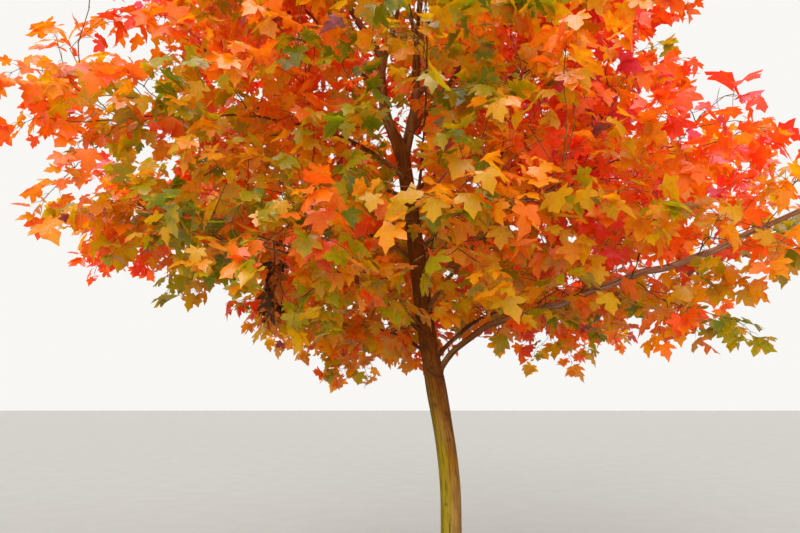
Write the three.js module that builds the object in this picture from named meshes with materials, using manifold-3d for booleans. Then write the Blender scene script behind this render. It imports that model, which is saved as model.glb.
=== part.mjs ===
// A young, open-grown maple in autumn leaf: a leaning trunk that forks into two stems, boughs that
// rise from both, and one mass of leafy twigs at the end of each bough.
// Lengths are in millimetres and angles in degrees. +Z is up, +X is the side of the long low bough,
// and the origin is the middle of the trunk's flat cut at ground level.
import * as THREE from "three";
import { mergeVertices } from "three/addons/utils/BufferGeometryUtils.js";
import Module from "manifold-3d";

const wasm = await Module();
wasm.setup();
const { Manifold, Mesh } = wasm;

// The trunk: its radius falls from foot to fork, and two soft bends carry it over to -X
const FORK_HEIGHT = 3130;
const FOOT_RADIUS = 66;
const FORK_RADIUS = 47;
const TRUNK_CROWN = 60; // how far the trunk closes over inside the fork
const CROWN_CLOSING = 0.95; // how much of its section is closed at the top
const TRUNK_BENDS = [
  { from: 750, to: 2050, drift: 145 },
  { from: 1500, to: 4200, drift: 260 },
];
const FLARE_RADIUS = 44; // how far the root flare stands out at the ground
const FLARE_HEIGHT = 120; // the height over which the flare dies away
const FLARE_ROOTS = 5; // ridges round the foot, where the main roots leave
const FLARE_RIDGE = 0.35; // depth of the ridges, as a share of the flare
const COLLAR_HEIGHT = 1470; // the swelling under the lowest bough
const COLLAR_SWELL = 5;
const COLLAR_SPAN = 150;
const TRUNK_STEPS = 16;
const TRUNK_SIDES = 15;
const TRUNK_SPACING = 1.35; // above 1, the rings stand closer towards the foot

// Two stems rise from inside the fork and end where their leaders part
const STEMS = [
  { name: "left_stem", on: "trunk", at: 3020, radius: 39, end: 30, length: 760,
    heading: [177, 177], rise: [62, 97], bend: 1 },
  { name: "right_stem", on: "trunk", at: 3020, radius: 35, end: 25, length: 880,
    heading: [22, 22], rise: [74, 93], bend: 1 },
];

// Every bough is a route of one length, bare at first and leafy from there to its tip. Its heading,
// counter-clockwise from +X, and its rise above level go from the first value to the second, and the
// rise changes the sooner the higher bend is; at is the height where it leaves the limb it stands on.
const BOUGHS = [
  { name: "low_right", on: "trunk", at: 1550, radius: 20, bare: 820, length: 2450,
    heading: [-13, -66], rise: [67, 12], bend: 7 },
  { name: "low_back_right", on: "trunk", at: 1640, radius: 16, bare: 620, length: 2150,
    heading: [40, 50], rise: [46, -2], bend: 2 },
  { name: "low_back_left", on: "trunk", at: 1680, radius: 14, bare: 560, length: 1950,
    heading: [116, 112], rise: [26, 0], bend: 2 },
  { name: "left_rising", on: "trunk", at: 1800, radius: 14, bare: 560, length: 1950,
    heading: [-160, -150], rise: [44, -6], bend: 1 },
  { name: "front_left", on: "trunk", at: 1860, radius: 12, bare: 460, length: 1650,
    heading: [-128, -112], rise: [24, -4], bend: 1 },
  { name: "right_rising", on: "trunk", at: 1950, radius: 15, bare: 680, length: 2150,
    heading: [-47, -51], rise: [50, -12], bend: 1 },
  { name: "front_right", on: "trunk", at: 2040, radius: 11, bare: 480, length: 1650,
    heading: [-92, -72], rise: [30, -12], bend: 1 },
  { name: "low_back", on: "trunk", at: 2120, radius: 14, bare: 540, length: 2050,
    heading: [84, 90], rise: [46, 2], bend: 2 },
  { name: "left_middle", on: "trunk", at: 2300, radius: 14, bare: 520, length: 2100,
    heading: [168, 172], rise: [40, -4], bend: 2 },
  { name: "right_middle", on: "trunk", at: 2380, radius: 14, bare: 540, length: 2150,
    heading: [-4, 0], rise: [44, -2], bend: 2 },
  { name: "front_middle", on: "trunk", at: 2480, radius: 12, bare: 560, length: 1850,
    heading: [-84, -94], rise: [44, 6], bend: 1 },
  { name: "back_left", on: "trunk", at: 2720, radius: 15, bare: 500, length: 2050,
    heading: [123, 143], rise: [34, -8], bend: 2 },
  { name: "back_right", on: "trunk", at: 2750, radius: 15, bare: 520, length: 2100,
    heading: [42, 40], rise: [43, 8], bend: 2 },
  { name: "left_long", on: "trunk", at: 2860, radius: 17, bare: 620, length: 2150,
    heading: [-131, -151], rise: [27, -16], bend: 2 },
  { name: "left_upper", on: "left_stem", at: 3400, radius: 12, bare: 430, length: 1800,
    heading: [-128, -122], rise: [32, 2], bend: 1 },
  { name: "upper_back_left", on: "left_stem", at: 3480, radius: 13, bare: 430, length: 1900,
    heading: [148, 152], rise: [52, 20], bend: 2 },
  { name: "upper_back_right", on: "right_stem", at: 3400, radius: 13, bare: 430, length: 1950,
    heading: [66, 60], rise: [52, 18], bend: 2 },
  { name: "right_limb", on: "right_stem", at: 3210, radius: 21, bare: 1000, length: 2450,
    heading: [19, 23], rise: [48, 72], bend: 2 },
  { name: "right_long", on: "right_limb", at: 3540, radius: 11, bare: 445, length: 1850,
    heading: [-56, -52], rise: [26, -8], bend: 1 },
  { name: "upper_right", on: "right_limb", at: 3900, radius: 11, bare: 360, length: 1450,
    heading: [-14, -6], rise: [34, 14], bend: 1 },
  { name: "upper_front", on: "right_stem", at: 3740, radius: 11, bare: 400, length: 1650,
    heading: [-88, -94], rise: [50, 14], bend: 1 },
  { name: "leader_outer_left", on: "left_stem", at: 3738, radius: 25, bare: 620, length: 2350,
    heading: [-156, -166], rise: [52, 68], bend: 1 },
  { name: "leader_back", on: "left_stem", at: 3738, radius: 21, bare: 700, length: 2300,
    heading: [72, 92], rise: [52, 74], bend: 1 },
  { name: "leader_front_left", on: "right_stem", at: 3868, radius: 14, bare: 540, length: 2100,
    heading: [-112, -112], rise: [54, 70], bend: 1 },
  { name: "leader_top", on: "right_stem", at: 3868, radius: 17, bare: 620, length: 2450,
    heading: [64, 124], rise: [74, 90], bend: 1 },
  { name: "leader_front_right", on: "right_stem", at: 3868, radius: 16, bare: 540, length: 2150,
    heading: [-28, -28], rise: [56, 72], bend: 1 },
];
const TIP_RADIUS = 4; // every bough's route thins to this at its tip
const ROUTE_STEPS = 12;
const STEM_STEPS = 7; // rings along a stem of the trunk
const STEM_SIDES = 8;
const BARE_STEPS = 4; // rings along a bough
const BOUGH_SIDES = 5;
const SEAT_GAP = 0.3; // between a limb and what it stands on

// A mass's stem goes on from its bough: it is drawn from inside the bough, which then cuts it off
const LEAFY_STEPS = 3;
const LEAFY_SIDES = 3;
const LEAFY_SHARE = 0.75; // its radius, as a share of the bough's at its tip
const LEAFY_OVERLAP = 6;

const SEED = 11; // of every draw below

// The rule of the twigs: pairs leave a mass's stem at equal steps, each pair turned a quarter round.
// Each play is the whole range of a draw about its mean.
const PAIR_STEP = 430; // along the stem, between pairs
const PAIRS_MIN = 3;
const PAIR_START = 0.55; // of a step, from the stem's foot to the first pair
const PAIR_ANGLE = 52; // between a twig and the stem's foot
const TIP_ANGLE = 40; // the same at the stem's tip
const TWIG_ANGLE_PLAY = 10;
const TWIG_ROLL_PLAY = 24;
const SIDE_REACH = 0.56; // a level twig's length as a share of its stem
const UPRIGHT_REACH = 0.34; // the same for a twig that rises or hangs
const TWIG_REACH_MIN = 330;
const TWIG_REACH_MAX = 800;
const TWIG_LENGTH_PLAY = 0.3;
const TWIG_TAPER = 0.5; // how much shorter a twig is at the stem's tip
const TWIG_SHARE = 0.45; // a twig's radius as a share of its stem's
const TWIG_TIP = 4;
const TWIG_SIDES = 3;
const TWIG_LIFT = 0.25; // how far a twig turns up at its elbow
const TWIG_CUTS = [1, 0.7]; // shares of its reach that a twig tries in turn

// Leaves: each stands for a spray of real leaves, as a blade with a flat back and one peak
const LEAF_LENGTH = 400;
const LEAF_THICKNESS = 7;
const LEAF_OUTLINE = [[0, 0], [0.38, 0.6], [0, 1], [-0.38, 0.6]]; // across and along, in leaf lengths
const LEAF_PEAK = 0.4; // where along the blade it is thickest
const LEAF_MIDDLE = 0.55;
const LEAF_SINK = 4; // how far the root of an end leaf lies behind its twig's tip
const LEAF_OFFSETS = { left: 24, right: 8 }; // how far side leaves stand past their twig's elbow
const LEAF_TURN = 66; // between a side leaf and its twig
const LEAF_TURN_PLAY = 40;
const LEAF_DROOP = 24;
const LEAF_DROOP_PLAY = 50;
const LEAF_TILT_PLAY = 70;
const LEAF_TRIES = 6; // poses that a leaf tries in turn
const LEAF_DRAW = 10; // the number of an end leaf's draw among those of its twig
const LEAF_SPACING = 190; // between the middles of two leaves of one mass

// The room that masses leave to each other and to the limbs
const KEEP_APART = 24;
const TWIG_CLEARANCE = 12;
const LEAF_CLEARANCE = 70;
const CORNER_DECIMALS = 2; // of a millimetre: corners of one solid differ at least in these

const BARK = { color: 0x6b5a3e, roughness: 0.9, metalness: 0 };
const LEAF_TINTS = [0xd8481c, 0xe07a1e, 0xc98a1c, 0xb8402a, 0x8f8a1e];
const LEAF_FINISH = { roughness: 0.6, metalness: 0 };

const UP = new THREE.Vector3(0, 0, 1);
const UPRIGHT = 0.08; // a direction with less than this across UP counts as upright
const { degToRad, lerp, clamp, smoothstep } = THREE.MathUtils;

// The seed or draw number k that belongs to a seed; a draw lies between 0 and 1
function seedOf(seed, k) {
  let h = (seed + Math.imul(k, 0x9e3779b1)) >>> 0;
  h = Math.imul(h ^ (h >>> 16), 0x85ebca6b) >>> 0;
  h = Math.imul(h ^ (h >>> 13), 0xc2b2ae35) >>> 0;
  return (h ^ (h >>> 16)) >>> 0;
}
const draw = (seed, k) => seedOf(seed, k) / 2 ** 32;
const play = (seed, k, range) => range * (draw(seed, k) - 0.5);

function direction(heading, rise) {
  const [h, r] = [degToRad(heading), degToRad(rise)];
  return new THREE.Vector3(Math.cos(r) * Math.cos(h), Math.cos(r) * Math.sin(h), Math.sin(r));
}

// The level direction across a limb, and for an upright one the X direction
function sideOf(to) {
  const side = new THREE.Vector3().crossVectors(to, UP);
  return side.length() > UPRIGHT ? side.normalize() : new THREE.Vector3(1, 0, 0);
}

// A route of points along which heading and rise change
function grow(start, { heading, rise, bend, length }) {
  const points = [start];
  for (let i = 0; i < ROUTE_STEPS; i++) {
    const t = (i + 0.5) / ROUTE_STEPS;
    const to = direction(lerp(heading[0], heading[1], t), lerp(rise[1], rise[0], (1 - t) ** bend));
    points.push(points[i].clone().addScaledVector(to, length / ROUTE_STEPS));
  }
  return points;
}

// The point at a distance along a route, and the route's direction there
function along(points, distance) {
  let left = distance;
  let i = 1;
  while (i < points.length - 1 && left > points[i].distanceTo(points[i - 1])) {
    left -= points[i].distanceTo(points[i - 1]);
    i += 1;
  }
  const to = points[i].clone().sub(points[i - 1]).normalize();
  return { point: points[i - 1].clone().addScaledVector(to, left), to };
}

// The stretch of a route between two distances, in equal steps
function stretch(points, from, to, steps) {
  return Array.from({ length: steps + 1 }, (_, i) => along(points, lerp(from, to, i / steps)).point);
}

// Where a route reaches a height
function atHeight(points, height) {
  const i = Math.max(1, points.findIndex((p) => p.z >= height));
  const [low, high] = [points[i - 1], points[i]];
  return low.clone().lerp(high, (height - low.z) / (high.z - low.z));
}

// The nearest place of a route to a point: how far it is, and its share of the route
function nearest(point, points) {
  const line = new THREE.Line3();
  const foot = new THREE.Vector3();
  let best = { distance: Infinity, share: 0 };
  for (let i = 1; i < points.length; i++) {
    const t = line.set(points[i - 1], points[i]).closestPointToPointParameter(point, true);
    const distance = line.at(t, foot).distanceTo(point);
    if (distance < best.distance) best = { distance, share: (i - 1 + t) / (points.length - 1) };
  }
  return best;
}

// A capped cylinder of radius 1 whose rings and rims place() moves: it is given the ring's number,
// the angle round it, and 0 at the middle of a cap or 1 at the rim
function warped(sides, steps, place) {
  const cylinder = new THREE.CylinderGeometry(1, 1, 1, sides, steps);
  cylinder.deleteAttribute("normal");
  cylinder.deleteAttribute("uv");
  const geometry = mergeVertices(cylinder);
  const position = geometry.getAttribute("position");
  for (let v = 0; v < position.count; v++) {
    const [x, y, z] = [position.getX(v), position.getY(v), position.getZ(v)];
    const at = place(Math.round((y + 0.5) * steps), Math.atan2(z, x), Math.hypot(x, z));
    position.setXYZ(v, at.x, at.y, at.z);
  }
  return geometry;
}

function solidOf(geometry) {
  const vertProperties = geometry.getAttribute("position").array;
  const triVerts = new Uint32Array(geometry.index.array);
  return new Manifold(new Mesh({ numProp: 3, vertProperties, triVerts }));
}

// A tube along a route, with its rings square to it
function tube(points, radiusAt, sides) {
  const last = points.length - 1;
  const flat = sideOf(points[last].clone().sub(points[0]).normalize());
  return solidOf(warped(sides, last, (i, angle, rim) => {
    const to = points[Math.min(i + 1, last)].clone().sub(points[Math.max(i - 1, 0)]).normalize();
    const side = flat.clone().addScaledVector(to, -flat.dot(to)).normalize();
    const over = new THREE.Vector3().crossVectors(side, to);
    const radius = rim * radiusAt(i / last);
    return points[i].clone()
      .addScaledVector(side, radius * Math.cos(angle))
      .addScaledVector(over, radius * Math.sin(angle));
  }));
}

function trunkMiddle(height) {
  const drift = TRUNK_BENDS.reduce((sum, b) => sum + b.drift * smoothstep(height, b.from, b.to), 0);
  return new THREE.Vector3(-drift, 0, height);
}

function trunkRadius(height, angle) {
  const column = lerp(FOOT_RADIUS, FORK_RADIUS, Math.min(height / FORK_HEIGHT, 1) ** 2);
  const collar = COLLAR_SWELL * Math.exp(-(((height - COLLAR_HEIGHT) / COLLAR_SPAN) ** 2));
  const ridges = 1 + FLARE_RIDGE * Math.cos(FLARE_ROOTS * angle);
  return column + collar + FLARE_RADIUS * ridges * Math.exp(-height / FLARE_HEIGHT);
}

// The trunk's foot is cut level, so its rings lie level all the way up; its top is rounded off
function trunkSolid(extra) {
  const top = FORK_HEIGHT + TRUNK_CROWN;
  return solidOf(warped(TRUNK_SIDES, TRUNK_STEPS, (i, angle, rim) => {
    const height = top * (i / TRUNK_STEPS) ** TRUNK_SPACING;
    const rounding = 1 - CROWN_CLOSING * smoothstep(height, FORK_HEIGHT - TRUNK_CROWN, top);
    const radius = rim * (trunkRadius(height, angle) * Math.sqrt(rounding) + extra);
    const outward = new THREE.Vector3(Math.cos(angle), -Math.sin(angle), 0);
    const lift = i === TRUNK_STEPS ? extra : 0;
    return trunkMiddle(height + lift).addScaledVector(outward, radius);
  }));
}

// A limb with its surface, and its two ends, moved out by extra
function limbSolid({ own, radiusAt, sides }, extra) {
  const points = own.map((p) => p.clone());
  const [first, second] = points;
  const [last, before] = points.toReversed();
  first.addScaledVector(first.clone().sub(second).normalize(), extra);
  last.addScaledVector(last.clone().sub(before).normalize(), extra);
  return tube(points, (share) => radiusAt(share) + extra, sides);
}

// Where a cut leaves several pieces, the main one is kept
function largest(solid) {
  return solid.decompose().reduce((a, b) => (b.volume() > a.volume() ? b : a));
}

// The limbs in the order of growth: each has its whole route, and its own bare stretch of that
const limbs = new Map();
const trunkRingAt = (share) => trunkMiddle(share * FORK_HEIGHT);
const middles = Array.from({ length: TRUNK_STEPS + 1 }, (_, i) => trunkRingAt(i / TRUNK_STEPS));
const trunkRadiusAt = (share) => trunkRadius(share * FORK_HEIGHT, 0);
limbs.set("trunk", { route: middles, own: middles, radiusAt: trunkRadiusAt });
for (const stem of STEMS) {
  const route = grow(atHeight(limbs.get(stem.on).route, stem.at), stem);
  const own = stretch(route, 0, stem.length, STEM_STEPS);
  const radiusAt = (share) => lerp(stem.radius, stem.end, share);
  limbs.set(stem.name, { route, own, radiusAt, sides: STEM_SIDES });
}
for (const bough of BOUGHS) {
  const route = grow(atHeight(limbs.get(bough.on).route, bough.at), bough);
  const own = stretch(route, 0, bough.bare, BARE_STEPS);
  const radiusAt = (share) => lerp(bough.radius, TIP_RADIUS, (share * bough.bare) / bough.length);
  limbs.set(bough.name, { route, own, radiusAt, sides: BOUGH_SIDES });
}

// Each limb is cut clear of those before it
const grownLimb = (limb, extra) => (limb.sides ? limbSolid(limb, extra) : trunkSolid(extra));
const earlier = [];
for (const limb of limbs.values()) {
  limb.solid = earlier.reduce((solid, other) => solid.subtract(other.room), grownLimb(limb, 0));
  limb.solid = largest(limb.solid);
  limb.room = grownLimb(limb, SEAT_GAP);
  earlier.push(limb);
}
const limbsWithRoom = Manifold.union(earlier.map((limb) => limb.room));

// The masses' stems divide the crown's room: a point belongs to the mass whose stem is nearest
const stems = BOUGHS.map(({ name, bare, length }) => (
  stretch(limbs.get(name).route, bare - LEAFY_OVERLAP, length, LEAFY_STEPS)
));

function inOwnSpace(point, index) {
  const own = nearest(point, stems[index]).distance + KEEP_APART;
  return stems.every((other, i) => i === index || nearest(point, other).distance > own);
}

function clearOfLimbs(point, clearance) {
  return [...limbs.values()].every(({ own, radiusAt }) => {
    const { distance, share } = nearest(point, own);
    return distance - radiusAt(share) > clearance;
  });
}

// Two solids as one, or nothing where corners of the result would all but coincide
function joined(whole, piece) {
  const both = whole.add(piece);
  const { vertProperties } = both.getMesh();
  const corners = new Set();
  for (let i = 0; i < vertProperties.length; i += 3) {
    corners.add([0, 1, 2].map((k) => vertProperties[i + k].toFixed(CORNER_DECIMALS)).join());
  }
  const clean = corners.size * 3 === vertProperties.length && piece.intersect(limbsWithRoom).isEmpty();
  return clean ? both : null;
}

// A twig's directions, from its stem to its elbow and from there to its tip
function twigDirections(to, roll, angle) {
  const across = sideOf(to);
  const over = new THREE.Vector3().crossVectors(across, to).normalize();
  const outward = across.multiplyScalar(Math.cos(roll)).addScaledVector(over, Math.sin(roll));
  const first = to.clone().multiplyScalar(Math.cos(angle)).addScaledVector(outward, Math.sin(angle));
  return [first, first.clone().addScaledVector(UP, TWIG_LIFT).normalize()];
}

// The twigs of one mass, each as its three points and its radius at the stem
function growTwigs(bough, index, base) {
  const length = bough.length - bough.bare;
  const pairs = Math.max(PAIRS_MIN, Math.round(length / PAIR_STEP));
  const twigs = [];
  for (let number = 0; number < pairs * 2; number++) {
    const seed = seedOf(seedOf(SEED, index), number);
    const pair = Math.floor(number / 2);
    const share = (pair + PAIR_START) / pairs;
    const { point, to } = along(stems[index], share * length);
    const turned = (number % 2) * 180 + (pair % 2) * 90;
    const roll = degToRad(turned + play(seed, 0, TWIG_ROLL_PLAY));
    const angle = degToRad(lerp(PAIR_ANGLE, TIP_ANGLE, share) + play(seed, 1, TWIG_ANGLE_PLAY));
    const upright = Math.abs(Math.sin(roll)) * Math.hypot(to.x, to.y);
    const reach = length * lerp(SIDE_REACH, UPRIGHT_REACH, upright) * (1 - TWIG_TAPER * share);
    const whole = clamp(reach, TWIG_REACH_MIN, TWIG_REACH_MAX) * (1 + play(seed, 2, TWIG_LENGTH_PLAY));
    const [first, second] = twigDirections(to, roll, angle);
    for (const cut of TWIG_CUTS) {
      const elbow = point.clone().addScaledVector(first, (cut * whole) / 2);
      const end = elbow.clone().addScaledVector(second, (cut * whole) / 2);
      const fits = [elbow, end].every((p) => inOwnSpace(p, index) && clearOfLimbs(p, TWIG_CLEARANCE));
      if (!fits) continue;
      twigs.push({ seed, points: [point, elbow, end], radius: TWIG_SHARE * lerp(base, TIP_RADIUS, share) });
      break;
    }
  }
  return twigs;
}

// The place of a leaf at the end of a route's last stretch, or past that stretch's start
function leafPlace([from, end], hand, seed) {
  const to = end.clone().sub(from).normalize();
  const offset = hand > 0 ? LEAF_OFFSETS.left : LEAF_OFFSETS.right;
  const root = hand === 0
    ? end.clone().addScaledVector(to, -LEAF_SINK)
    : from.clone().addScaledVector(to, offset);
  return { root, to, hand, seed: seedOf(seed, LEAF_DRAW + hand) };
}

// Leaves stand at the tip of a mass's stem, and at each twig's tip and elbow
function leafPlaces(twigs, index) {
  const atStem = leafPlace(stems[index].slice(-2), 0, seedOf(SEED, index));
  const atTwigs = twigs.flatMap(({ seed, points }) => (
    [0, 1, -1].map((hand) => leafPlace(points.slice(-2), hand, seed))
  ));
  return [atStem, ...atTwigs];
}

// A leaf's corners: it turns to one side of its twig and droops, and its face tilts a little
function leafCorners({ root, to, hand }, seed) {
  const turn = degToRad(hand * LEAF_TURN + play(seed, 0, LEAF_TURN_PLAY));
  const droop = degToRad(LEAF_DROOP + play(seed, 1, LEAF_DROOP_PLAY));
  const ahead = to.clone().multiplyScalar(Math.cos(turn)).addScaledVector(sideOf(to), Math.sin(turn));
  ahead.multiplyScalar(Math.cos(droop)).addScaledVector(UP, -Math.sin(droop)).normalize();
  const across = sideOf(ahead).applyAxisAngle(ahead, degToRad(play(seed, 2, LEAF_TILT_PLAY)));
  const over = new THREE.Vector3().crossVectors(across, ahead);
  const place = (x, y) => root.clone()
    .addScaledVector(across, x * LEAF_LENGTH)
    .addScaledVector(ahead, y * LEAF_LENGTH);
  const peak = place(0, LEAF_PEAK).addScaledVector(over, LEAF_THICKNESS);
  return { outline: LEAF_OUTLINE.map(([x, y]) => place(x, y)), peak, middle: place(0, LEAF_MIDDLE) };
}

function leafSolid({ outline, peak }) {
  const geometry = new THREE.BufferGeometry().setFromPoints([...outline, peak]);
  const sides = outline.flatMap((_, i) => [i, (i + 1) % outline.length, outline.length]);
  geometry.setIndex([0, 3, 1, 1, 3, 2, ...sides]);
  return solidOf(geometry);
}

// The first pose of a leaf that keeps to its mass's space, and clear of limbs and of other leaves
function fittingLeaf(place, index, placed) {
  for (let attempt = 0; attempt < LEAF_TRIES; attempt++) {
    const leaf = leafCorners(place, seedOf(place.seed, attempt));
    const points = [...leaf.outline.slice(1), leaf.middle];
    const fits = points.every((p) => inOwnSpace(p, index) && clearOfLimbs(p, LEAF_CLEARANCE))
      && placed.every((middle) => middle.distanceTo(leaf.middle) > LEAF_SPACING);
    if (fits) return leaf;
  }
  return null;
}

function massSolid(bough, index) {
  const base = LEAFY_SHARE * limbs.get(bough.name).radiusAt(1);
  let whole = tube(stems[index], (share) => lerp(base, TIP_RADIUS, share), LEAFY_SIDES);
  whole = whole.subtract(limbs.get(bough.name).room);
  const twigs = growTwigs(bough, index, base).filter(({ points, radius }) => {
    const both = joined(whole, tube(points, (share) => lerp(radius, TWIG_TIP, share), TWIG_SIDES));
    whole = both ?? whole;
    return both;
  });
  const placed = [];
  for (const place of leafPlaces(twigs, index)) {
    const leaf = fittingLeaf(place, index, placed);
    const both = leaf && joined(whole, leafSolid(leaf));
    if (!both) continue;
    whole = both;
    placed.push(leaf.middle);
  }
  return largest(whole);
}

// Three points of each face, so that every face keeps its own flat normal
function geometryOf(solid) {
  const { vertProperties, triVerts } = solid.getMesh();
  const geometry = new THREE.BufferGeometry();
  geometry.setAttribute("position", new THREE.BufferAttribute(new Float32Array(vertProperties), 3));
  geometry.setIndex(new THREE.BufferAttribute(new Uint32Array(triVerts), 1));
  const faceted = geometry.toNonIndexed();
  faceted.computeVertexNormals();
  return faceted;
}

const tree = new THREE.Group();
tree.name = "maple_tree";

function addNode(name, solid, finish) {
  const mesh = new THREE.Mesh(geometryOf(solid), new THREE.MeshStandardMaterial(finish));
  mesh.name = name;
  tree.add(mesh);
}

for (const [name, { solid }] of limbs) addNode(name, solid, BARK);
BOUGHS.forEach((bough, i) => {
  const finish = { ...LEAF_FINISH, color: LEAF_TINTS[i % LEAF_TINTS.length] };
  addNode(`leaves_${bough.name}`, massSolid(bough, i), finish);
});

export default tree;
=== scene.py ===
# A young maple in autumn leaf, dressed over its solids: bark with its relief on the trunk and
# boughs, and in each mass the twigs and leaves that grow on from the bough by one seeded rule.
# Lengths are in metres and angles in degrees. +Z is up, and the origin is the foot of the trunk.
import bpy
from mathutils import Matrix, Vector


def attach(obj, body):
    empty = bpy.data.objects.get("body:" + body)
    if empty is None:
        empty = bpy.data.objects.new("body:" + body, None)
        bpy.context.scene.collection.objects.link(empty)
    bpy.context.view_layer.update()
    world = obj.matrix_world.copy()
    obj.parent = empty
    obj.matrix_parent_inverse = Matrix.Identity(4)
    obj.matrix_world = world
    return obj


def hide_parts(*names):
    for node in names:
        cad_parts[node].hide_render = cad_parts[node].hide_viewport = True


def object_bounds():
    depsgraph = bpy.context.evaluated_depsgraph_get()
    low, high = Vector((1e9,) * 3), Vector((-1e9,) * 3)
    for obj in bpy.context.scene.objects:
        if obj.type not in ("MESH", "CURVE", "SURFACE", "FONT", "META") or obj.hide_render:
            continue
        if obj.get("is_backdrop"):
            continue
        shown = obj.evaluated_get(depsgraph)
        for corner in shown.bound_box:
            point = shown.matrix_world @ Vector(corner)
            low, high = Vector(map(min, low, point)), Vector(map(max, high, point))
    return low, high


bl_info = {
    "name": "Maple in autumn leaf",
    "version": (1, 0, 0),
    "blender": (4, 5, 0),
    "location": "3D View > Sidebar > Maple",
    "description": "Dresses the solids of a young maple with bark, twigs and autumn leaves",
    "category": "Add Mesh",
}

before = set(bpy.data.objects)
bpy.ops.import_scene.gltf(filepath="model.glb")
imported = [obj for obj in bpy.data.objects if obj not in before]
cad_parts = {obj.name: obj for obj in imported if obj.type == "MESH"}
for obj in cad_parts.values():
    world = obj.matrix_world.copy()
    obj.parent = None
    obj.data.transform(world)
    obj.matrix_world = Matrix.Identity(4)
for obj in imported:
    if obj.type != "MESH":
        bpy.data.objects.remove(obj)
cad_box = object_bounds()

import functools
import math
from collections import Counter, namedtuple

import bmesh
import bpy
import numpy as np
from mathutils import Vector

# The rule of growth, as in the part's source: the trunk
FORK_HEIGHT = 3.13
FOOT_RADIUS = 0.066
FORK_RADIUS = 0.047
TRUNK_CROWN = 0.06  # how far the trunk closes over inside the fork
TRUNK_BENDS = ((0.75, 2.05, 0.145), (1.5, 4.2, 0.26))  # from, to, and the drift to -X
FLARE_RADIUS = 0.044
FLARE_HEIGHT = 0.12
FLARE_ROOTS = 5
FLARE_RIDGE = 0.35
COLLAR_HEIGHT = 1.47
COLLAR_SWELL = 0.005
COLLAR_SPAN = 0.15
TRUNK_STEPS = 16

# The two stems and the boughs: on is the limb that each stands on, and at its height there. A route
# is bare at first and leafy from there on. Heading and rise go from the first value to the second.
Stem = namedtuple("Stem", "name on at radius end length heading rise bend")
Bough = namedtuple("Bough", "name on at radius bare length heading rise bend")
STEMS = (
    Stem("left_stem", "trunk", 3.02, 0.039, 0.030, 0.76, (177, 177), (62, 97), 1),
    Stem("right_stem", "trunk", 3.02, 0.035, 0.025, 0.88, (22, 22), (74, 93), 1),
)
BOUGHS = (
    Bough("low_right", "trunk", 1.55, 0.020, 0.82, 2.45, (-13, -66), (67, 12), 7),
    Bough("low_back_right", "trunk", 1.64, 0.016, 0.62, 2.15, (40, 50), (46, -2), 2),
    Bough("low_back_left", "trunk", 1.68, 0.014, 0.56, 1.95, (116, 112), (26, 0), 2),
    Bough("left_rising", "trunk", 1.80, 0.014, 0.56, 1.95, (-160, -150), (44, -6), 1),
    Bough("front_left", "trunk", 1.86, 0.012, 0.46, 1.65, (-128, -112), (24, -4), 1),
    Bough("right_rising", "trunk", 1.95, 0.015, 0.68, 2.15, (-47, -51), (50, -12), 1),
    Bough("front_right", "trunk", 2.04, 0.011, 0.48, 1.65, (-92, -72), (30, -12), 1),
    Bough("low_back", "trunk", 2.12, 0.014, 0.54, 2.05, (84, 90), (46, 2), 2),
    Bough("left_middle", "trunk", 2.30, 0.014, 0.52, 2.10, (168, 172), (40, -4), 2),
    Bough("right_middle", "trunk", 2.38, 0.014, 0.54, 2.15, (-4, 0), (44, -2), 2),
    Bough("front_middle", "trunk", 2.48, 0.012, 0.56, 1.85, (-84, -94), (44, 6), 1),
    Bough("back_left", "trunk", 2.72, 0.015, 0.50, 2.05, (123, 143), (34, -8), 2),
    Bough("back_right", "trunk", 2.75, 0.015, 0.52, 2.10, (42, 40), (43, 8), 2),
    Bough("left_long", "trunk", 2.86, 0.017, 0.62, 2.15, (-131, -151), (27, -16), 2),
    Bough("left_upper", "left_stem", 3.40, 0.012, 0.43, 1.80, (-128, -122), (32, 2), 1),
    Bough("upper_back_left", "left_stem", 3.48, 0.013, 0.43, 1.90, (148, 152), (52, 20), 2),
    Bough("upper_back_right", "right_stem", 3.40, 0.013, 0.43, 1.95, (66, 60), (52, 18), 2),
    Bough("right_limb", "right_stem", 3.21, 0.021, 1.00, 2.45, (19, 23), (48, 72), 2),
    Bough("right_long", "right_limb", 3.54, 0.011, 0.445, 1.85, (-56, -52), (26, -8), 1),
    Bough("upper_right", "right_limb", 3.90, 0.011, 0.36, 1.45, (-14, -6), (34, 14), 1),
    Bough("upper_front", "right_stem", 3.74, 0.011, 0.40, 1.65, (-88, -94), (50, 14), 1),
    Bough("leader_outer_left", "left_stem", 3.738, 0.025, 0.62, 2.35, (-156, -166), (52, 68), 1),
    Bough("leader_back", "left_stem", 3.738, 0.021, 0.70, 2.30, (72, 92), (52, 74), 1),
    Bough("leader_front_left", "right_stem", 3.868, 0.014, 0.54, 2.10, (-112, -112), (54, 70), 1),
    Bough("leader_top", "right_stem", 3.868, 0.017, 0.62, 2.45, (64, 124), (74, 90), 1),
    Bough("leader_front_right", "right_stem", 3.868, 0.016, 0.54, 2.15, (-28, -28), (56, 72), 1),
)
TIP_RADIUS = 0.004
ROUTE_STEPS = 12
STEM_STEPS = 7
BARE_STEPS = 4

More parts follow.
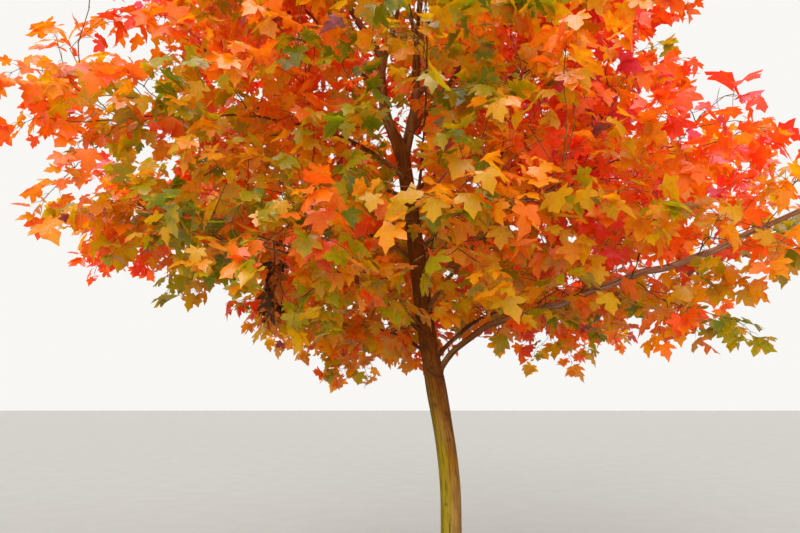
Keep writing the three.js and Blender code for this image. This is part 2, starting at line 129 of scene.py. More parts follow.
# The masses: each has a stem that goes on from its bough, and pairs of twigs on it
SEED = 11
LEAFY_STEPS = 3
LEAFY_SHARE = 0.75  # the mass's stem, as a share of the bough's tip
LEAFY_OVERLAP = 0.006
PAIR_STEP = 0.43
PAIRS_MIN = 3
PAIR_START = 0.55
PAIR_ANGLE = 52
TIP_ANGLE = 40
TWIG_ANGLE_PLAY = 10
TWIG_ROLL_PLAY = 24
SIDE_REACH = 0.56
UPRIGHT_REACH = 0.34
TWIG_REACH_MIN = 0.33
TWIG_REACH_MAX = 0.8
TWIG_LENGTH_PLAY = 0.3
TWIG_TAPER = 0.5
TWIG_SHARE = 0.45
TWIG_LIFT = 0.25
TWIG_CUTS = (1, 0.7)

# The sprays: each takes the room of one leaf blade of the source
SPRAY_LENGTH = 0.4
SPRAY_OUTLINE = ((0.38, 0.6), (0, 1), (-0.38, 0.6), (0, 0.55))  # across and along, in its lengths
SPRAY_SINK = 0.004
SPRAY_OFFSETS = {0: 0, 1: 0.024, -1: 0.008}
SPRAY_TURN = 66
SPRAY_TURN_PLAY = 40
SPRAY_DROOP = 24
SPRAY_DROOP_PLAY = 50
SPRAY_TILT_PLAY = 70
SPRAY_TRIES = 6
SPRAY_SPACING = 0.19
SPRAY_DRAW = 10

# Between these sprays the scene grows more, closer together, by the same rule
MORE_STATIONS = ((1, 0.5), (0, 0.6), (1, 0.8))  # stretch of the twig, and share along it
MORE_STEM_STATIONS = 7
MORE_BOUGH_STATIONS = (0.6, 0.8, 0.98)  # shares of a bough's bare stretch
MORE_SPACING = 0.15
MORE_DRAW = 40
BOUGH_DRAW = 80
FILL_DRAW = 120
FILL_RADIUS = 0.0036

# Finer twigs grow into what is still open between the sprays. A place counts as open inside the
# crown where it has sprays on all sides, so the crown's own reach stays as it is
FILL_STEP = 0.15
FILL_PLAY = 0.07
FILL_REACH = 0.42  # from the nearest spray of the rule
FILL_ROUND = 0.6  # how far round a place its neighbours are counted
FILL_BALANCE = 0.42  # how far to one side their middle may lie, as a share of how far they are
FILL_SPACING = 0.235
FILL_LIMB_ROOM = 0.13
FILL_LONGEST = 0.55
FILL_SHORTEST = 0.08
FILL_ROUNDS = 3
FILL_BACKWARD = 1.7
FILL_CHOICE = 12
FILL_LEVEL = 0.5  # how far a spray at a finer twig's end turns level
FILL_DROOP = 0.25
FILL_DROOP_PLAY = 1
FILL_BEND = 0.25  # where a finer twig bends, as a share of its length
FILL_PART = 256  # places that are worked out at once
ATTACH_STEP = 0.04  # between the places on a twig where a finer one may stand

KEEP_APART = 0.024
TWIG_CLEARANCE = 0.012
LEAF_CLEARANCE = 0.07
UPRIGHT = 0.08  # a direction with less than this across UP counts as upright
TINY = 1e-12
UP = np.array((0.0, 0.0, 1.0))


# Draws: the seed or draw number k that belongs to a seed, a draw between 0 and 1, and a draw of so
# wide a span about 0. The number k only tells one draw from another
def seed_of(seed, k):
    mask = 0xFFFFFFFF
    h = (seed + k * 0x9E3779B1) & mask
    h = ((h ^ (h >> 16)) * 0x85EBCA6B) & mask
    h = ((h ^ (h >> 13)) * 0xC2B2AE35) & mask
    return h ^ (h >> 16)


def draw(seed, k):
    return seed_of(seed, k) / 2**32


def play(seed, k, span):
    return span * (draw(seed, k) - 0.5)


def lerp(a, b, t):
    return (1 - t) * a + t * b


def smoothstep(x, low, high):
    t = np.clip((x - low) / (high - low), 0, 1)
    return t * t * (3 - 2 * t)


def unit(v):
    return v / np.linalg.norm(v)


def direction(heading, rise):
    h, r = math.radians(heading), math.radians(rise)
    return np.array((math.cos(r) * math.cos(h), math.cos(r) * math.sin(h), math.sin(r)))


def side_of(to):
    """The level direction across a limb, and for an upright one the X direction"""
    side = np.cross(to, UP)
    length = np.linalg.norm(side)
    return side / length if length > UPRIGHT else np.array((1.0, 0.0, 0.0))


def turned_about(v, axis, angle):
    turned = v * math.cos(angle) + np.cross(axis, v) * math.sin(angle)
    return turned + axis * (axis @ v) * (1 - math.cos(angle))


def grow(start, limb):
    """A route of points along which heading and rise change"""
    points = [start]
    for i in range(ROUTE_STEPS):
        t = (i + 0.5) / ROUTE_STEPS
        rise = lerp(limb.rise[1], limb.rise[0], (1 - t) ** limb.bend)
        to = direction(lerp(*limb.heading, t), rise)
        points.append(points[-1] + to * limb.length / ROUTE_STEPS)
    return points


def along(points, distance):
    """The point at a distance along a route, and the route's direction there"""
    i = 1
    step = np.linalg.norm(points[1] - points[0])
    while i < len(points) - 1 and distance > step:
        distance -= step
        i += 1
        step = np.linalg.norm(points[i] - points[i - 1])
    to = unit(points[i] - points[i - 1])
    return points[i - 1] + to * distance, to


def stretch(points, start, end, steps):
    return [along(points, lerp(start, end, i / steps))[0] for i in range(steps + 1)]


def at_height(points, height):
    i = max(1, next((k for k, p in enumerate(points) if p[2] >= height), 0))
    low, high = points[i - 1], points[i]
    return lerp(low, high, (height - low[2]) / (high[2] - low[2]))


def trunk_middle(height):
    drift = sum(shift * smoothstep(height, low, high) for low, high, shift in TRUNK_BENDS)
    return np.stack((-drift, 0 * drift, height + 0 * drift), axis=-1)


def trunk_radius(height, angle):
    column = lerp(FOOT_RADIUS, FORK_RADIUS, np.minimum(height / FORK_HEIGHT, 1) ** 2)
    collar = COLLAR_SWELL * np.exp(-(((height - COLLAR_HEIGHT) / COLLAR_SPAN) ** 2))
    ridges = 1 + FLARE_RIDGE * np.cos(FLARE_ROOTS * angle)
    return column + collar + FLARE_RADIUS * ridges * np.exp(-height / FLARE_HEIGHT)


# A limb has its whole route, its own bare stretch of that, and its radius at a share of the stretch
Limb = namedtuple("Limb", "route own radius_at")


def taper(radius, end, own):
    """The radius at a share of a limb's own stretch, which is so much of the whole that tapers"""
    return lambda share: lerp(radius, end, share * own)


@functools.cache
def grow_limbs():
    middles = [trunk_middle(FORK_HEIGHT * i / TRUNK_STEPS) for i in range(TRUNK_STEPS + 1)]
    limbs = {"trunk": Limb(middles, middles, lambda share: trunk_radius(share * FORK_HEIGHT, 0))}
    for stem in STEMS:
        route = grow(at_height(limbs[stem.on].route, stem.at), stem)
        own = stretch(route, 0, stem.length, STEM_STEPS)
        limbs[stem.name] = Limb(route, own, taper(stem.radius, stem.end, 1))
    for bough in BOUGHS:
        route = grow(at_height(limbs[bough.on].route, bough.at), bough)
        own = stretch(route, 0, bough.bare, BARE_STEPS)
        bare = bough.bare / bough.length
        limbs[bough.name] = Limb(route, own, taper(bough.radius, TIP_RADIUS, bare))
    return limbs


@functools.cache
def grow_stems():
    """The stem of each mass, which goes on from its bough's tip"""
    limbs = grow_limbs()
    return [
        stretch(limbs[b.name].route, b.bare - LEAFY_OVERLAP, b.length, LEAFY_STEPS) for b in BOUGHS
    ]


def stretches(routes):
    """The starts and steps of the routes' stretches, the last point repeated on a short route"""
    longest = max(len(route) for route in routes)
    padded = np.array([list(route) + [route[-1]] * (longest - len(route)) for route in routes])
    return padded[:, :-1], padded[:, 1:] - padded[:, :-1]


def nearest(points, starts, steps):
    """From each point to each route: how far it is, and the place, counted in the route's points"""
    offset = points[:, None, None, :] - starts
    t = np.clip((offset * steps).sum(-1) / np.maximum((steps**2).sum(-1), TINY), 0, 1)
    gap = np.linalg.norm(offset - t[..., None] * steps, axis=-1)
    best = gap.argmin(-1)
    place = best + np.take_along_axis(t, best[..., None], -1)[..., 0]
    return gap.min(-1), place


@functools.cache
def stem_stretches():
    return stretches(grow_stems())


@functools.cache
def limb_stretches():
    return stretches([limb.own for limb in grow_limbs().values()])


def in_own_space(points, index):
    gaps, _ = nearest(points, *stem_stretches())
    own = gaps[:, index] + KEEP_APART
    return bool((np.delete(gaps, index, axis=1) > own[:, None]).all())


def room_to_limbs(points):
    """How far each point is from the surface of the nearest limb"""
    gaps, places = nearest(points, *limb_stretches())
    for column, limb in enumerate(grow_limbs().values()):
        share = np.minimum(places[:, column] / (len(limb.own) - 1), 1)
        gaps[:, column] -= limb.radius_at(share)
    return gaps.min(axis=1)


def fits(points, index, clearance):
    points = np.array(points)
    return in_own_space(points, index) and room_to_limbs(points).min() > clearance


def twig_directions(to, roll, angle):
    across = side_of(to)
    over = unit(np.cross(across, to))
    outward = across * math.cos(roll) + over * math.sin(roll)
    first = to * math.cos(angle) + outward * math.sin(angle)
    return first, unit(first + UP * TWIG_LIFT)


# A spray has its seed and mass, the direction of its twig, its root, its own three directions
# and its middle
Twig = namedtuple("Twig", "seed points radius")
Spray = namedtuple("Spray", "seed mass to root ahead across over middle")


def grow_twigs(bough, index, base):
    """The twigs of one mass, each as its three points and its radius at the stem"""
    stem = grow_stems()[index]
    length = bough.length - bough.bare
    pairs = max(PAIRS_MIN, math.floor(length / PAIR_STEP + 0.5))
    twigs = []
    for number in range(pairs * 2):
        seed = seed_of(seed_of(SEED, index), number)
        pair = number // 2
        share = (pair + PAIR_START) / pairs
        point, to = along(stem, share * length)
        turned = (number % 2) * 180 + (pair % 2) * 90
        roll = math.radians(turned + play(seed, 0, TWIG_ROLL_PLAY))
        angle = math.radians(lerp(PAIR_ANGLE, TIP_ANGLE, share) + play(seed, 1, TWIG_ANGLE_PLAY))
        upright = abs(math.sin(roll)) * math.hypot(to[0], to[1])
        reach = length * lerp(SIDE_REACH, UPRIGHT_REACH, upright) * (1 - TWIG_TAPER * share)
        reach = min(max(reach, TWIG_REACH_MIN), TWIG_REACH_MAX)
        whole = reach * (1 + play(seed, 2, TWIG_LENGTH_PLAY))
        first, second = twig_directions(to, roll, angle)
        for cut in TWIG_CUTS:
            elbow = point + first * cut * whole / 2
            end = elbow + second * cut * whole / 2
            if fits([elbow, end], index, TWIG_CLEARANCE):
                radius = TWIG_SHARE * lerp(base, TIP_RADIUS, share)
                twigs.append(Twig(seed, (point, elbow, end), radius))
                break
    return twigs


def spray_pose(to, hand, root, seed, index):
    """A spray turns to one side of its twig and droops, and its face tilts a little"""
    turn = math.radians(hand * SPRAY_TURN + play(seed, 0, SPRAY_TURN_PLAY))
    droop = math.radians(SPRAY_DROOP + play(seed, 1, SPRAY_DROOP_PLAY))
    ahead = to * math.cos(turn) + side_of(to) * math.sin(turn)
    ahead = unit(ahead * math.cos(droop) - UP * math.sin(droop))
    tilt = math.radians(play(seed, 2, SPRAY_TILT_PLAY))
    across = turned_about(side_of(ahead), ahead, tilt)
    middle = root + ahead * SPRAY_OUTLINE[-1][1] * SPRAY_LENGTH
    return Spray(seed, index, to, root, ahead, across, np.cross(across, ahead), middle)


def fitting_spray(to, hand, root, seed, index, placed, spacing):
    """The first pose of a spray that keeps to its mass's space, clear of limbs and other sprays"""
    for attempt in range(SPRAY_TRIES):
        spray = spray_pose(to, hand, root, seed_of(seed, attempt), index)
        if any(np.linalg.norm(other.middle - spray.middle) <= spacing for other in placed):
            continue
        corners = [
            root + (spray.across * x + spray.ahead * y) * SPRAY_LENGTH for x, y in SPRAY_OUTLINE
        ]
        if fits(corners, index, LEAF_CLEARANCE):
            return spray
    return None


def spray_places(stem, twigs, index):
    """The source's places: at the tip of the stem, and at each twig's tip and elbow"""
    to = unit(stem[-1] - stem[-2])
    yield to, 0, stem[-1] - to * SPRAY_SINK, seed_of(seed_of(SEED, index), SPRAY_DRAW)
    for twig in twigs:
        _, elbow, end = twig.points
        to = unit(end - elbow)
        for hand in (0, 1, -1):
            root = end - to * SPRAY_SINK if hand == 0 else elbow + to * SPRAY_OFFSETS[hand]
            yield to, hand, root, seed_of(twig.seed, SPRAY_DRAW + hand)


def more_places(stem, twigs, index):
    """More places between them, on both sides along each twig, the stem and the bough's outer part"""
    for twig in twigs:
        for number, (part, share) in enumerate(MORE_STATIONS):
            start, end = twig.points[part : part + 2]
            for hand in (1, -1):
                seed = seed_of(twig.seed, MORE_DRAW + 2 * number + (hand > 0))
                yield unit(end - start), hand, lerp(start, end, share), seed
    length = sum(np.linalg.norm(b - a) for a, b in zip(stem, stem[1:]))
    for number in range(MORE_STEM_STATIONS):
        point, to = along(stem, length * (number + 1.5) / (MORE_STEM_STATIONS + 1.5))
        for hand in (1, -1):
            seed = seed_of(seed_of(SEED, index), MORE_DRAW + 2 * number + (hand > 0))
            yield to, hand, point, seed
    own = grow_limbs()[BOUGHS[index].name].own
    for number, share in enumerate(MORE_BOUGH_STATIONS):
        point, to = along(own, BOUGHS[index].bare * share)
        for hand in (1, -1):
            seed = seed_of(seed_of(SEED, index), BOUGH_DRAW + 2 * number + (hand > 0))
            yield to, hand, point, seed


def open_places(middles):
    """Places at even steps with some play that lie open inside the crown, clear of the limbs"""
    steps = [np.arange(low, high, FILL_STEP) for low, high in zip(middles.min(0), middles.max(0))]
    grid = np.stack(np.meshgrid(*steps, indexing="ij"), axis=-1).reshape(-1, 3)
    grid += np.random.default_rng(SEED).uniform(-FILL_PLAY, FILL_PLAY, grid.shape)
    kept = []
    for part in np.array_split(grid, len(grid) // FILL_PART + 1):
        offset = middles - part[:, None, :]
        gap = np.linalg.norm(offset, axis=-1)
        near = gap < FILL_ROUND
        count = np.maximum(near.sum(axis=1), 1)
        lean = np.linalg.norm((offset * near[..., None]).sum(axis=1), axis=-1) / count
        balanced = lean < FILL_BALANCE * (gap * near).sum(axis=1) / count
        part = part[balanced & (gap.min(axis=1) < FILL_REACH)]
        if len(part):
            kept.append(part[room_to_limbs(part) > FILL_LIMB_ROOM])
    return np.concatenate(kept)


def attach_places(lines):
    """Places at even steps along twigs, and the twigs' directions there"""
    points, ways = [], []
    for line in lines:
        for start, end in zip(line, line[1:]):
            count = max(1, round(np.linalg.norm(end - start) / ATTACH_STEP))
            points += [lerp(start, end, (k + 0.5) / count) for k in range(count)]
            ways += [unit(end - start)] * count
    return np.array(points), np.array(ways)


def best_attachment(place, points, ways):
    """From where on a twig a finer twig reaches a place: near by, and leaving it forwards"""
    gap = np.linalg.norm(place - points, axis=1)
    gap[gap < FILL_SHORTEST] = np.inf
    choice = np.argpartition(gap, FILL_CHOICE)[:FILL_CHOICE]
    forward = ((place - points[choice]) * ways[choice]).sum(axis=1) / gap[choice]
    best = choice[np.argmin(gap[choice] * (FILL_BACKWARD - forward))]
    return best, gap[best]


def filling_spray(place, root, way, seed, index):
    """A spray with its middle at a place, and the points of the finer twig that carries it, if any"""
    reach = place - root
    to = unit(reach)
    half = SPRAY_OUTLINE[-1][1] * SPRAY_LENGTH
    level = reach * (1, 1, 0)
    ahead = unit(level) if np.linalg.norm(level) > UPRIGHT else side_of(to)
    droop = FILL_DROOP * (1 + play(seed, 1, FILL_DROOP_PLAY))
    ahead = unit(lerp(to, ahead, FILL_LEVEL) - UP * droop)
    base, twig = place - ahead * half, None
    length = np.linalg.norm(base - root)
    if length > FILL_SHORTEST:
        twig = Twig(seed, (root, root + (way + to) * length * FILL_BEND, base), FILL_RADIUS)
    else:
        base = root
    tilt = math.radians(play(seed, 2, SPRAY_TILT_PLAY))
    across = turned_about(side_of(ahead), ahead, tilt)
    return Spray(seed, index, to, base, ahead, across, np.cross(across, ahead), place), twig


def fill_crown(sprays, lines):
    """Finer twigs and sprays in what is open between the others, round by round from the twigs out"""
    middles = [spray.middle for spray in sprays]
    places = open_places(np.array(middles))
    places = places[~in_openings(places)]
    twigs, added = [], []
    points, ways = attach_places(lines)
    for _ in range(FILL_ROUNDS):
        reached = [(best_attachment(place, points, ways), tuple(place)) for place in places]
        later, new_lines = [], []
        for (best, gap), place in sorted(reached, key=lambda row: row[0][1]):
            place = np.array(place)
            if gap > FILL_LONGEST:
                later.append(place)
                continue
            near = np.array(middles) - place
            if (near * near).sum(axis=1).min() < FILL_SPACING**2:
                continue
            seed = seed_of(seed_of(SEED, FILL_DRAW), len(added))
            owner = nearest(place[None], *stem_stretches())[0].argmin()
            spray, twig = filling_spray(place, points[best], ways[best], seed, owner)
            added.append(spray)
            middles.append(spray.middle)
            if twig:
                twigs.append(twig)
                new_lines.append(twig.points)
        if not later or not new_lines:
            break
        more_points, more_ways = attach_places(new_lines)
        points, ways = np.concatenate((points, more_points)), np.concatenate((ways, more_ways))
        places = np.array(later)
    return twigs, added


@functools.cache
def grow_masses():
    """The twigs of the rule, the finer twigs, and all the sprays"""
    twigs, sprays = [], []
    for index, (bough, stem) in enumerate(zip(BOUGHS, grow_stems())):
        base = LEAFY_SHARE * grow_limbs()[bough.name].radius_at(1)
        own = grow_twigs(bough, index, base)
        placed = []
        for places, spacing in ((spray_places, SPRAY_SPACING), (more_places, MORE_SPACING)):
            for to, hand, root, seed in places(stem, own, index):
                spray = fitting_spray(to, hand, root, seed, index, placed, spacing)
                if spray:
                    placed.append(spray)
        twigs += own
        sprays += placed
    lines = [*grow_stems(), *(twig.points for twig in twigs)]
    finer, filling = fill_crown(sprays, lines)
    return twigs, finer, sprays + filling


# Meshes
def curve_through(points, count):
    """A smooth curve through the points, as count points at equal steps along it"""
    p = np.array(points)
    p = np.vstack((2 * p[0] - p[1], p, 2 * p[-1] - p[-2]))
    place = np.linspace(0, len(p) - 3, count)
    i = np.minimum(place.astype(int), len(p) - 4)
    t = (place - i)[:, None]
    a, b, c, d = p[i], p[i + 1], p[i + 2], p[i + 3]
    cubic = (3 * b - a - 3 * c + d) * t**3 + (2 * a - 5 * b + 4 * c - d) * t**2 + (c - a) * t
    return b + cubic / 2


def ring_frames(routes):
    """For routes with equally many points: two directions square to each route at each point"""
    to = np.gradient(routes, axis=-2)
    to /= np.linalg.norm(to, axis=-1, keepdims=True)
    whole = routes[..., -1, :] - routes[..., 0, :]
    flat = np.cross(whole, UP)
    upright = np.linalg.norm(flat, axis=-1, keepdims=True) < UPRIGHT * np.linalg.norm(
        whole, axis=-1, keepdims=True
    )
    flat = np.where(upright, (1.0, 0.0, 0.0), flat)[..., None, :]
    side = flat - to * (flat * to).sum(-1, keepdims=True)
    side /= np.linalg.norm(side, axis=-1, keepdims=True)
    return side, np.cross(to, side)


def new_piece(name, corners, *faces):
    """A mesh object from an array of corners and arrays of faces, each of one number of corners"""
    mesh = bpy.data.meshes.new(name)
    indices = np.concatenate([part.ravel() for part in faces]).astype(np.int32)
    sizes = np.concatenate([np.full(len(part), part.shape[1]) for part in faces])
    starts = np.concatenate(([0], np.cumsum(sizes)[:-1])).astype(np.int32)
    mesh.vertices.add(len(corners))
    mesh.vertices.foreach_set("co", corners.astype(np.float32).ravel())
    mesh.loops.add(len(indices))
    mesh.polygons.add(len(sizes))
    mesh.polygons.foreach_set("loop_start", starts)
    mesh.polygons.foreach_set("vertices", indices)
    mesh.update(calc_edges=True)
    piece = bpy.data.objects.new(name, mesh)
    bpy.context.scene.collection.objects.link(piece)
    return piece


def tube_arrays(routes, radii, sides):
    """Corners, side faces and cap faces of tubes along routes with equally many points"""
    routes, radii = np.array(routes), np.array(radii)
    count, rings = routes.shape[:2]
    side, over = ring_frames(routes)
    angle = 2 * math.pi * np.arange(sides) / sides
    rim = side[:, :, None, :] * np.cos(angle)[:, None] + over[:, :, None, :] * np.sin(angle)[:, None]
    corners = routes[:, :, None, :] + rim * radii[:, :, None, None]
    number = np.arange(count * rings * sides).reshape(count, rings, sides)
    low, high = number[:, :-1], number[:, 1:]
    walls = np.stack((low, np.roll(low, -1, 2), np.roll(high, -1, 2), high), axis=-1)
    caps = np.concatenate((number[:, 0, ::-1], number[:, -1]))
    return corners.reshape(-1, 3), walls.reshape(-1, 4), caps


def joined_arrays(parts):
    """Corners and faces of several sets of tubes as one set, the walls and caps kept apart"""
    corners, walls, caps = [], [], []
    first = 0
    for part_corners, part_walls, part_caps in parts:
        corners.append(part_corners)
        walls.append(part_walls + first)
        caps.append(part_caps + first)
        first += len(part_corners)
    return np.concatenate(corners), [np.concatenate(walls), *caps]


# The relief of the bark: broad ribs that wander, and fissures that open and close along them
RIBS = ((3, 1.0), (5, 0.8), (8, 0.6), (13, 0.4))  # ribs round the limb, and their share of the relief
WANDER = 1.4  # radians by which ribs and fissures wander
WANDER_STEP = 2.3  # radians of wandering for each metre
QUICK_WANDER = 2.7  # times as quick, for the smaller part of the wandering
FISSURES = (17, 23, 31)  # rows of fissures round the limb
FISSURE_WIDTH = 0.45  # radians of a fissure's own row
FISSURE_STEP = 9.0  # radians of opening and closing for each metre
FISSURE_WANDER = 1.5  # times as far as a rib
FISSURE_SHIFT = 2.4  # radians from the opening of one row to the next one's
FISSURE_OPEN = (0.1, 0.8)  # where in that a fissure begins, and where it is at its full depth
PHASE_PLAY = 6


def wandering(distance, seed, k):
    slow = np.sin(distance * WANDER_STEP + play(seed, k, PHASE_PLAY))
    quick = np.sin(distance * WANDER_STEP * QUICK_WANDER + play(seed, k + 50, PHASE_PLAY))
    return WANDER * (slow + 0.5 * quick)


def bark_relief(angle, distance, seed):
    """Height of the ribs, and depth of the fissures, both about 1 at most"""
    ribs = np.zeros_like(angle)
    for k, (count, share) in enumerate(RIBS):
        phase = play(seed, k, PHASE_PLAY)
        ribs += share * np.sin(count * angle + phase + wandering(distance, seed, k))
    cracks = np.zeros_like(angle)
    for k, count in enumerate(FISSURES, 10):
        phase = play(seed, k, PHASE_PLAY)
        row = count * angle + phase + FISSURE_WANDER * wandering(distance, seed, k)
        place = np.floor(row / (2 * math.pi))
        phase = play(seed, k + 20, PHASE_PLAY)
        opening = np.sin(FISSURE_STEP * distance + FISSURE_SHIFT * place + phase)
        valley = np.exp(-(((row / (2 * math.pi) - place - 0.5) * 2 * math.pi / FISSURE_WIDTH) ** 2))
        cracks = np.maximum(cracks, valley * smoothstep(opening, *FISSURE_OPEN))
    return ribs / sum(share for _, share in RIBS), cracks


STANDING = 1e-4  # an edge with more than this from end to end in height stands upright
SMOOTH_ANGLE = 50


def barrel(name, sides, cuts):
    """A capped cylinder of radius 1 from z 0 to 1, cut into level rings"""
    bpy.ops.object.select_all(action="DESELECT")
    bpy.ops.mesh.primitive_cylinder_add(
        vertices=sides, radius=1, depth=1, end_fill_type="NGON", location=(0, 0, 0.5)
    )
    piece = bpy.context.object
    piece.name = piece.data.name = name
    bpy.ops.object.transform_apply(location=True, rotation=False, scale=False)
    for number in cuts:
        bpy.ops.object.mode_set(mode="EDIT")
        bpy.ops.mesh.select_mode(type="EDGE")
        bpy.ops.mesh.select_all(action="DESELECT")
        shape = bmesh.from_edit_mesh(piece.data)
        for edge in shape.edges:
            edge.select = abs(edge.verts[0].co.z - edge.verts[1].co.z) > STANDING
        bmesh.update_edit_mesh(piece.data)
        bpy.ops.mesh.subdivide(number_cuts=number - 1)
        bpy.ops.object.mode_set(mode="OBJECT")
    return piece


def barrel_places(piece):
    """For each corner of a barrel: its share of the height, and its angle"""
    co = np.zeros(len(piece.data.vertices) * 3, np.float32)
    piece.data.vertices.foreach_get("co", co)
    co = co.reshape(-1, 3).astype(float)
    return co[:, 2], np.arctan2(co[:, 1], co[:, 0])


def set_corners(piece, corners):
    piece.data.vertices.foreach_set("co", corners.astype(np.float32).ravel())
    piece.data.update()


def set_bark_places(piece, angle, distance, radius, cracks, shift):
    """The attributes that the bark's pattern follows: round and along the limb, and its cracks, which on
    the trunk hold the crease's painted shade too
    """
    round_limb = np.stack((np.cos(angle) * radius, np.sin(angle) * radius, distance), axis=-1)
    places = piece.data.attributes.new("bark", "FLOAT_VECTOR", "POINT")
    places.data.foreach_set("vector", (round_limb + shift).astype(np.float32).ravel())
    # the cracks, and on the trunk the painted shade of the crease
    depth = piece.data.attributes.new("crack", "FLOAT", "POINT")
    depth.data.foreach_set("value", cracks.astype(np.float32))


def smooth(piece):
    bpy.ops.object.select_all(action="DESELECT")
    piece.select_set(True)
    bpy.context.view_layer.objects.active = piece
    bpy.ops.object.shade_smooth_by_angle(angle=math.radians(SMOOTH_ANGLE))


def finish_piece(piece, material, slot):
    piece.data.materials.clear()
    piece.data.materials.append(material)
    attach(piece, "root")
    return piece


# Marks on the trunk where small boughs once stood: height, bearing, width, and how deep the eye is
SCARS = (
    (1.374, -117, 0.046, 0.005),
    (1.324, -57, 0.050, 0.004),
    (0.767, -121, 0.030, 0.003),
    (1.160, -75, 0.030, 0.002),
    (0.950, 60, 0.028, 0.003),
    (1.250, 130, 0.030, 0.004),
    (0.560, 10, 0.026, 0.003),
    (0.480, -160, 0.024, 0.002),
    (1.612, -100, 0.075, 0.005),
    (1.746, -128, 0.070, 0.005),
    (2.050, -150, 0.026, 0.003),
    (2.350, -60, 0.026, 0.003),
)
SCAR_STAIN_AND_CREASE_SHADE = 0.5  # how dark the bark is round a scar, where its eye is 1, and how dark the painted shade round the crease is
SCAR_FLATNESS = 1.35  # a scar is so many times wider than it is high
EYE_REACH = 0.55  # of half the scar's width
LID_WIDTH = 0.35
STAIN_REACH = 1.2

# The crease in the bark under the low bough on the right, with a lip above it, and painted shade of the
# bough darkening the groove and the bark round it
Crease = namedtuple("Crease", "height bearing rise width depth")
CREASE = Crease(height=1.552, bearing=-58, rise=0.034, width=0.009, depth=0.007)
CREASE_REACH = 1.5  # radians to each side
CREASE_FADE = 0.4
LIP_PLACE = 2.5  # in widths of the crease, as the next two
LIP_WIDTH = 2
# how far the painted shade round the crease reaches, in widths of the crease
CREASE_SHADE_REACH = 4
TRUNK_SIDES = 84
TRUNK_CUTS = (16, 20)
CROWN_CLOSING = 0.95
FLAT_RIM = 0.01  # the relief fades out so far above the flat cut


def bearing_from(angle, bearing):
    """Radians round the trunk from a bearing, between half a turn back and half a turn on"""
    return np.angle(np.exp(1j * (angle - math.radians(bearing))))


def with_scars(out, cracks, angle, height, radius):
    """The bark with the scars of lost boughs, each an eye in a raised lid, and dark round about"""
    for level, bearing, width, depth in SCARS:
        around = bearing_from(angle, bearing) * radius
        reach = np.hypot(around, (height - level) * SCAR_FLATNESS) / (width / 2)
        eye, lid = np.exp(-((reach / EYE_REACH) ** 2)), np.exp(-(((reach - 1) / LID_WIDTH) ** 2))
        out = out + depth * (lid - eye)
        stain_and_shade = SCAR_STAIN_AND_CREASE_SHADE * np.exp(-((reach / STAIN_REACH) ** 2))
        cracks = np.maximum(cracks, np.maximum(eye, stain_and_shade))
    return out, cracks


# The crease gets a groove and a lip, and painted shade that darkens the groove and a wider band round it
def with_crease_and_painted_shade(out, cracks, angle, height):
    around = bearing_from(angle, CREASE.bearing)
    above = height - CREASE.height - CREASE.rise * around**2
    fade = smoothstep(CREASE_REACH - np.abs(around), 0, CREASE_FADE)
    groove = fade * np.exp(-((above / CREASE.width) ** 2))
    lip = np.exp(-(((above - LIP_PLACE * CREASE.width) / (LIP_WIDTH * CREASE.width)) ** 2))
    # painted shade round the crease
    stain_and_shade = SCAR_STAIN_AND_CREASE_SHADE * fade * np.exp(-((above / (CREASE_SHADE_REACH * CREASE.width)) ** 2))
    out = out + CREASE.depth * (fade * lip - groove)
    return out, np.maximum(cracks, np.maximum(groove, stain_and_shade))


def build_trunk(settings):
    piece = barrel("trunk_bark", TRUNK_SIDES, TRUNK_CUTS)
    share, angle = barrel_places(piece)
    top = FORK_HEIGHT + TRUNK_CROWN
    height = top * share
    relief, cracks = bark_relief(angle, height, SEED)
    radius = trunk_radius(height, angle)
    ground = smoothstep(height, 0, FLAT_RIM)
    out = settings.relief * relief - settings.fissure_depth * cracks
    out, cracks = with_scars(out, cracks, angle, height, radius)
    # the crease under the low bough, with painted shade put into the cracks
    out, cracks = with_crease_and_painted_shade(out, cracks, angle, height)
    rounding = np.sqrt(1 - CROWN_CLOSING * smoothstep(height, FORK_HEIGHT - TRUNK_CROWN, top))
    outward = np.stack((np.cos(angle), np.sin(angle), 0 * angle), axis=-1)
    surface = (radius * rounding + out * ground)[:, None]
    set_corners(piece, trunk_middle(height) + outward * surface)
    set_bark_places(piece, angle, height, radius, cracks, 0)
    smooth(piece)
    finish_piece(piece, bark_material("trunk_bark", settings, "trunk"), "bark")
    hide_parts("trunk")


LIMB_RING = 0.013  # between the rings of a limb
LIMB_SIDES = 26
SEAT_SPREAD = 0.95  # how much wider a limb is at its seat
SEAT_LIMIT = 0.94  # and at most so wide, as a share of what carries it
SEAT_REACH = 1.9  # and how far up that goes, in radii of the limb
NODE_STEP = 0.11  # between the swollen nodes of a bough
NODE_SWELL = 0.09
NODE_SPAN = 0.008
LIMB_WANDER = 0.12  # of its radius, how far a limb strays from its line
STOUT = "low_right"  # the bough whose bark goes on along its mass's stem, stout to its end
STOUT_END = 0.6  # what is left of its radius there
STOUT_FALL = 0.65  # share of its route from which it gets thinner
STOUT_WANDER = 0.5
WANDER_RATE = 3  # times as quick as the bark's own wandering
WANDER_FADE = 0.2  # share of a limb at each end where it comes back to its line
TIP_FALL = 0.08  # length at a bough's tip over which it comes down to its mass's stem
PATTERN_SHIFT = 20  # how far apart the patterns of the limbs' bark may lie


def seat_spread(row):
    """How much wider a limb is at its seat, within what carries it"""
    carrier = grow_limbs()[row.on]
    _, place = nearest(grow_limbs()[row.name].own[0][None], *stretches([carrier.own]))
    radius = carrier.radius_at(place[0, 0] / (len(carrier.own) - 1))
    return max(0, min(SEAT_SPREAD, SEAT_LIMIT * radius / row.radius - 1))


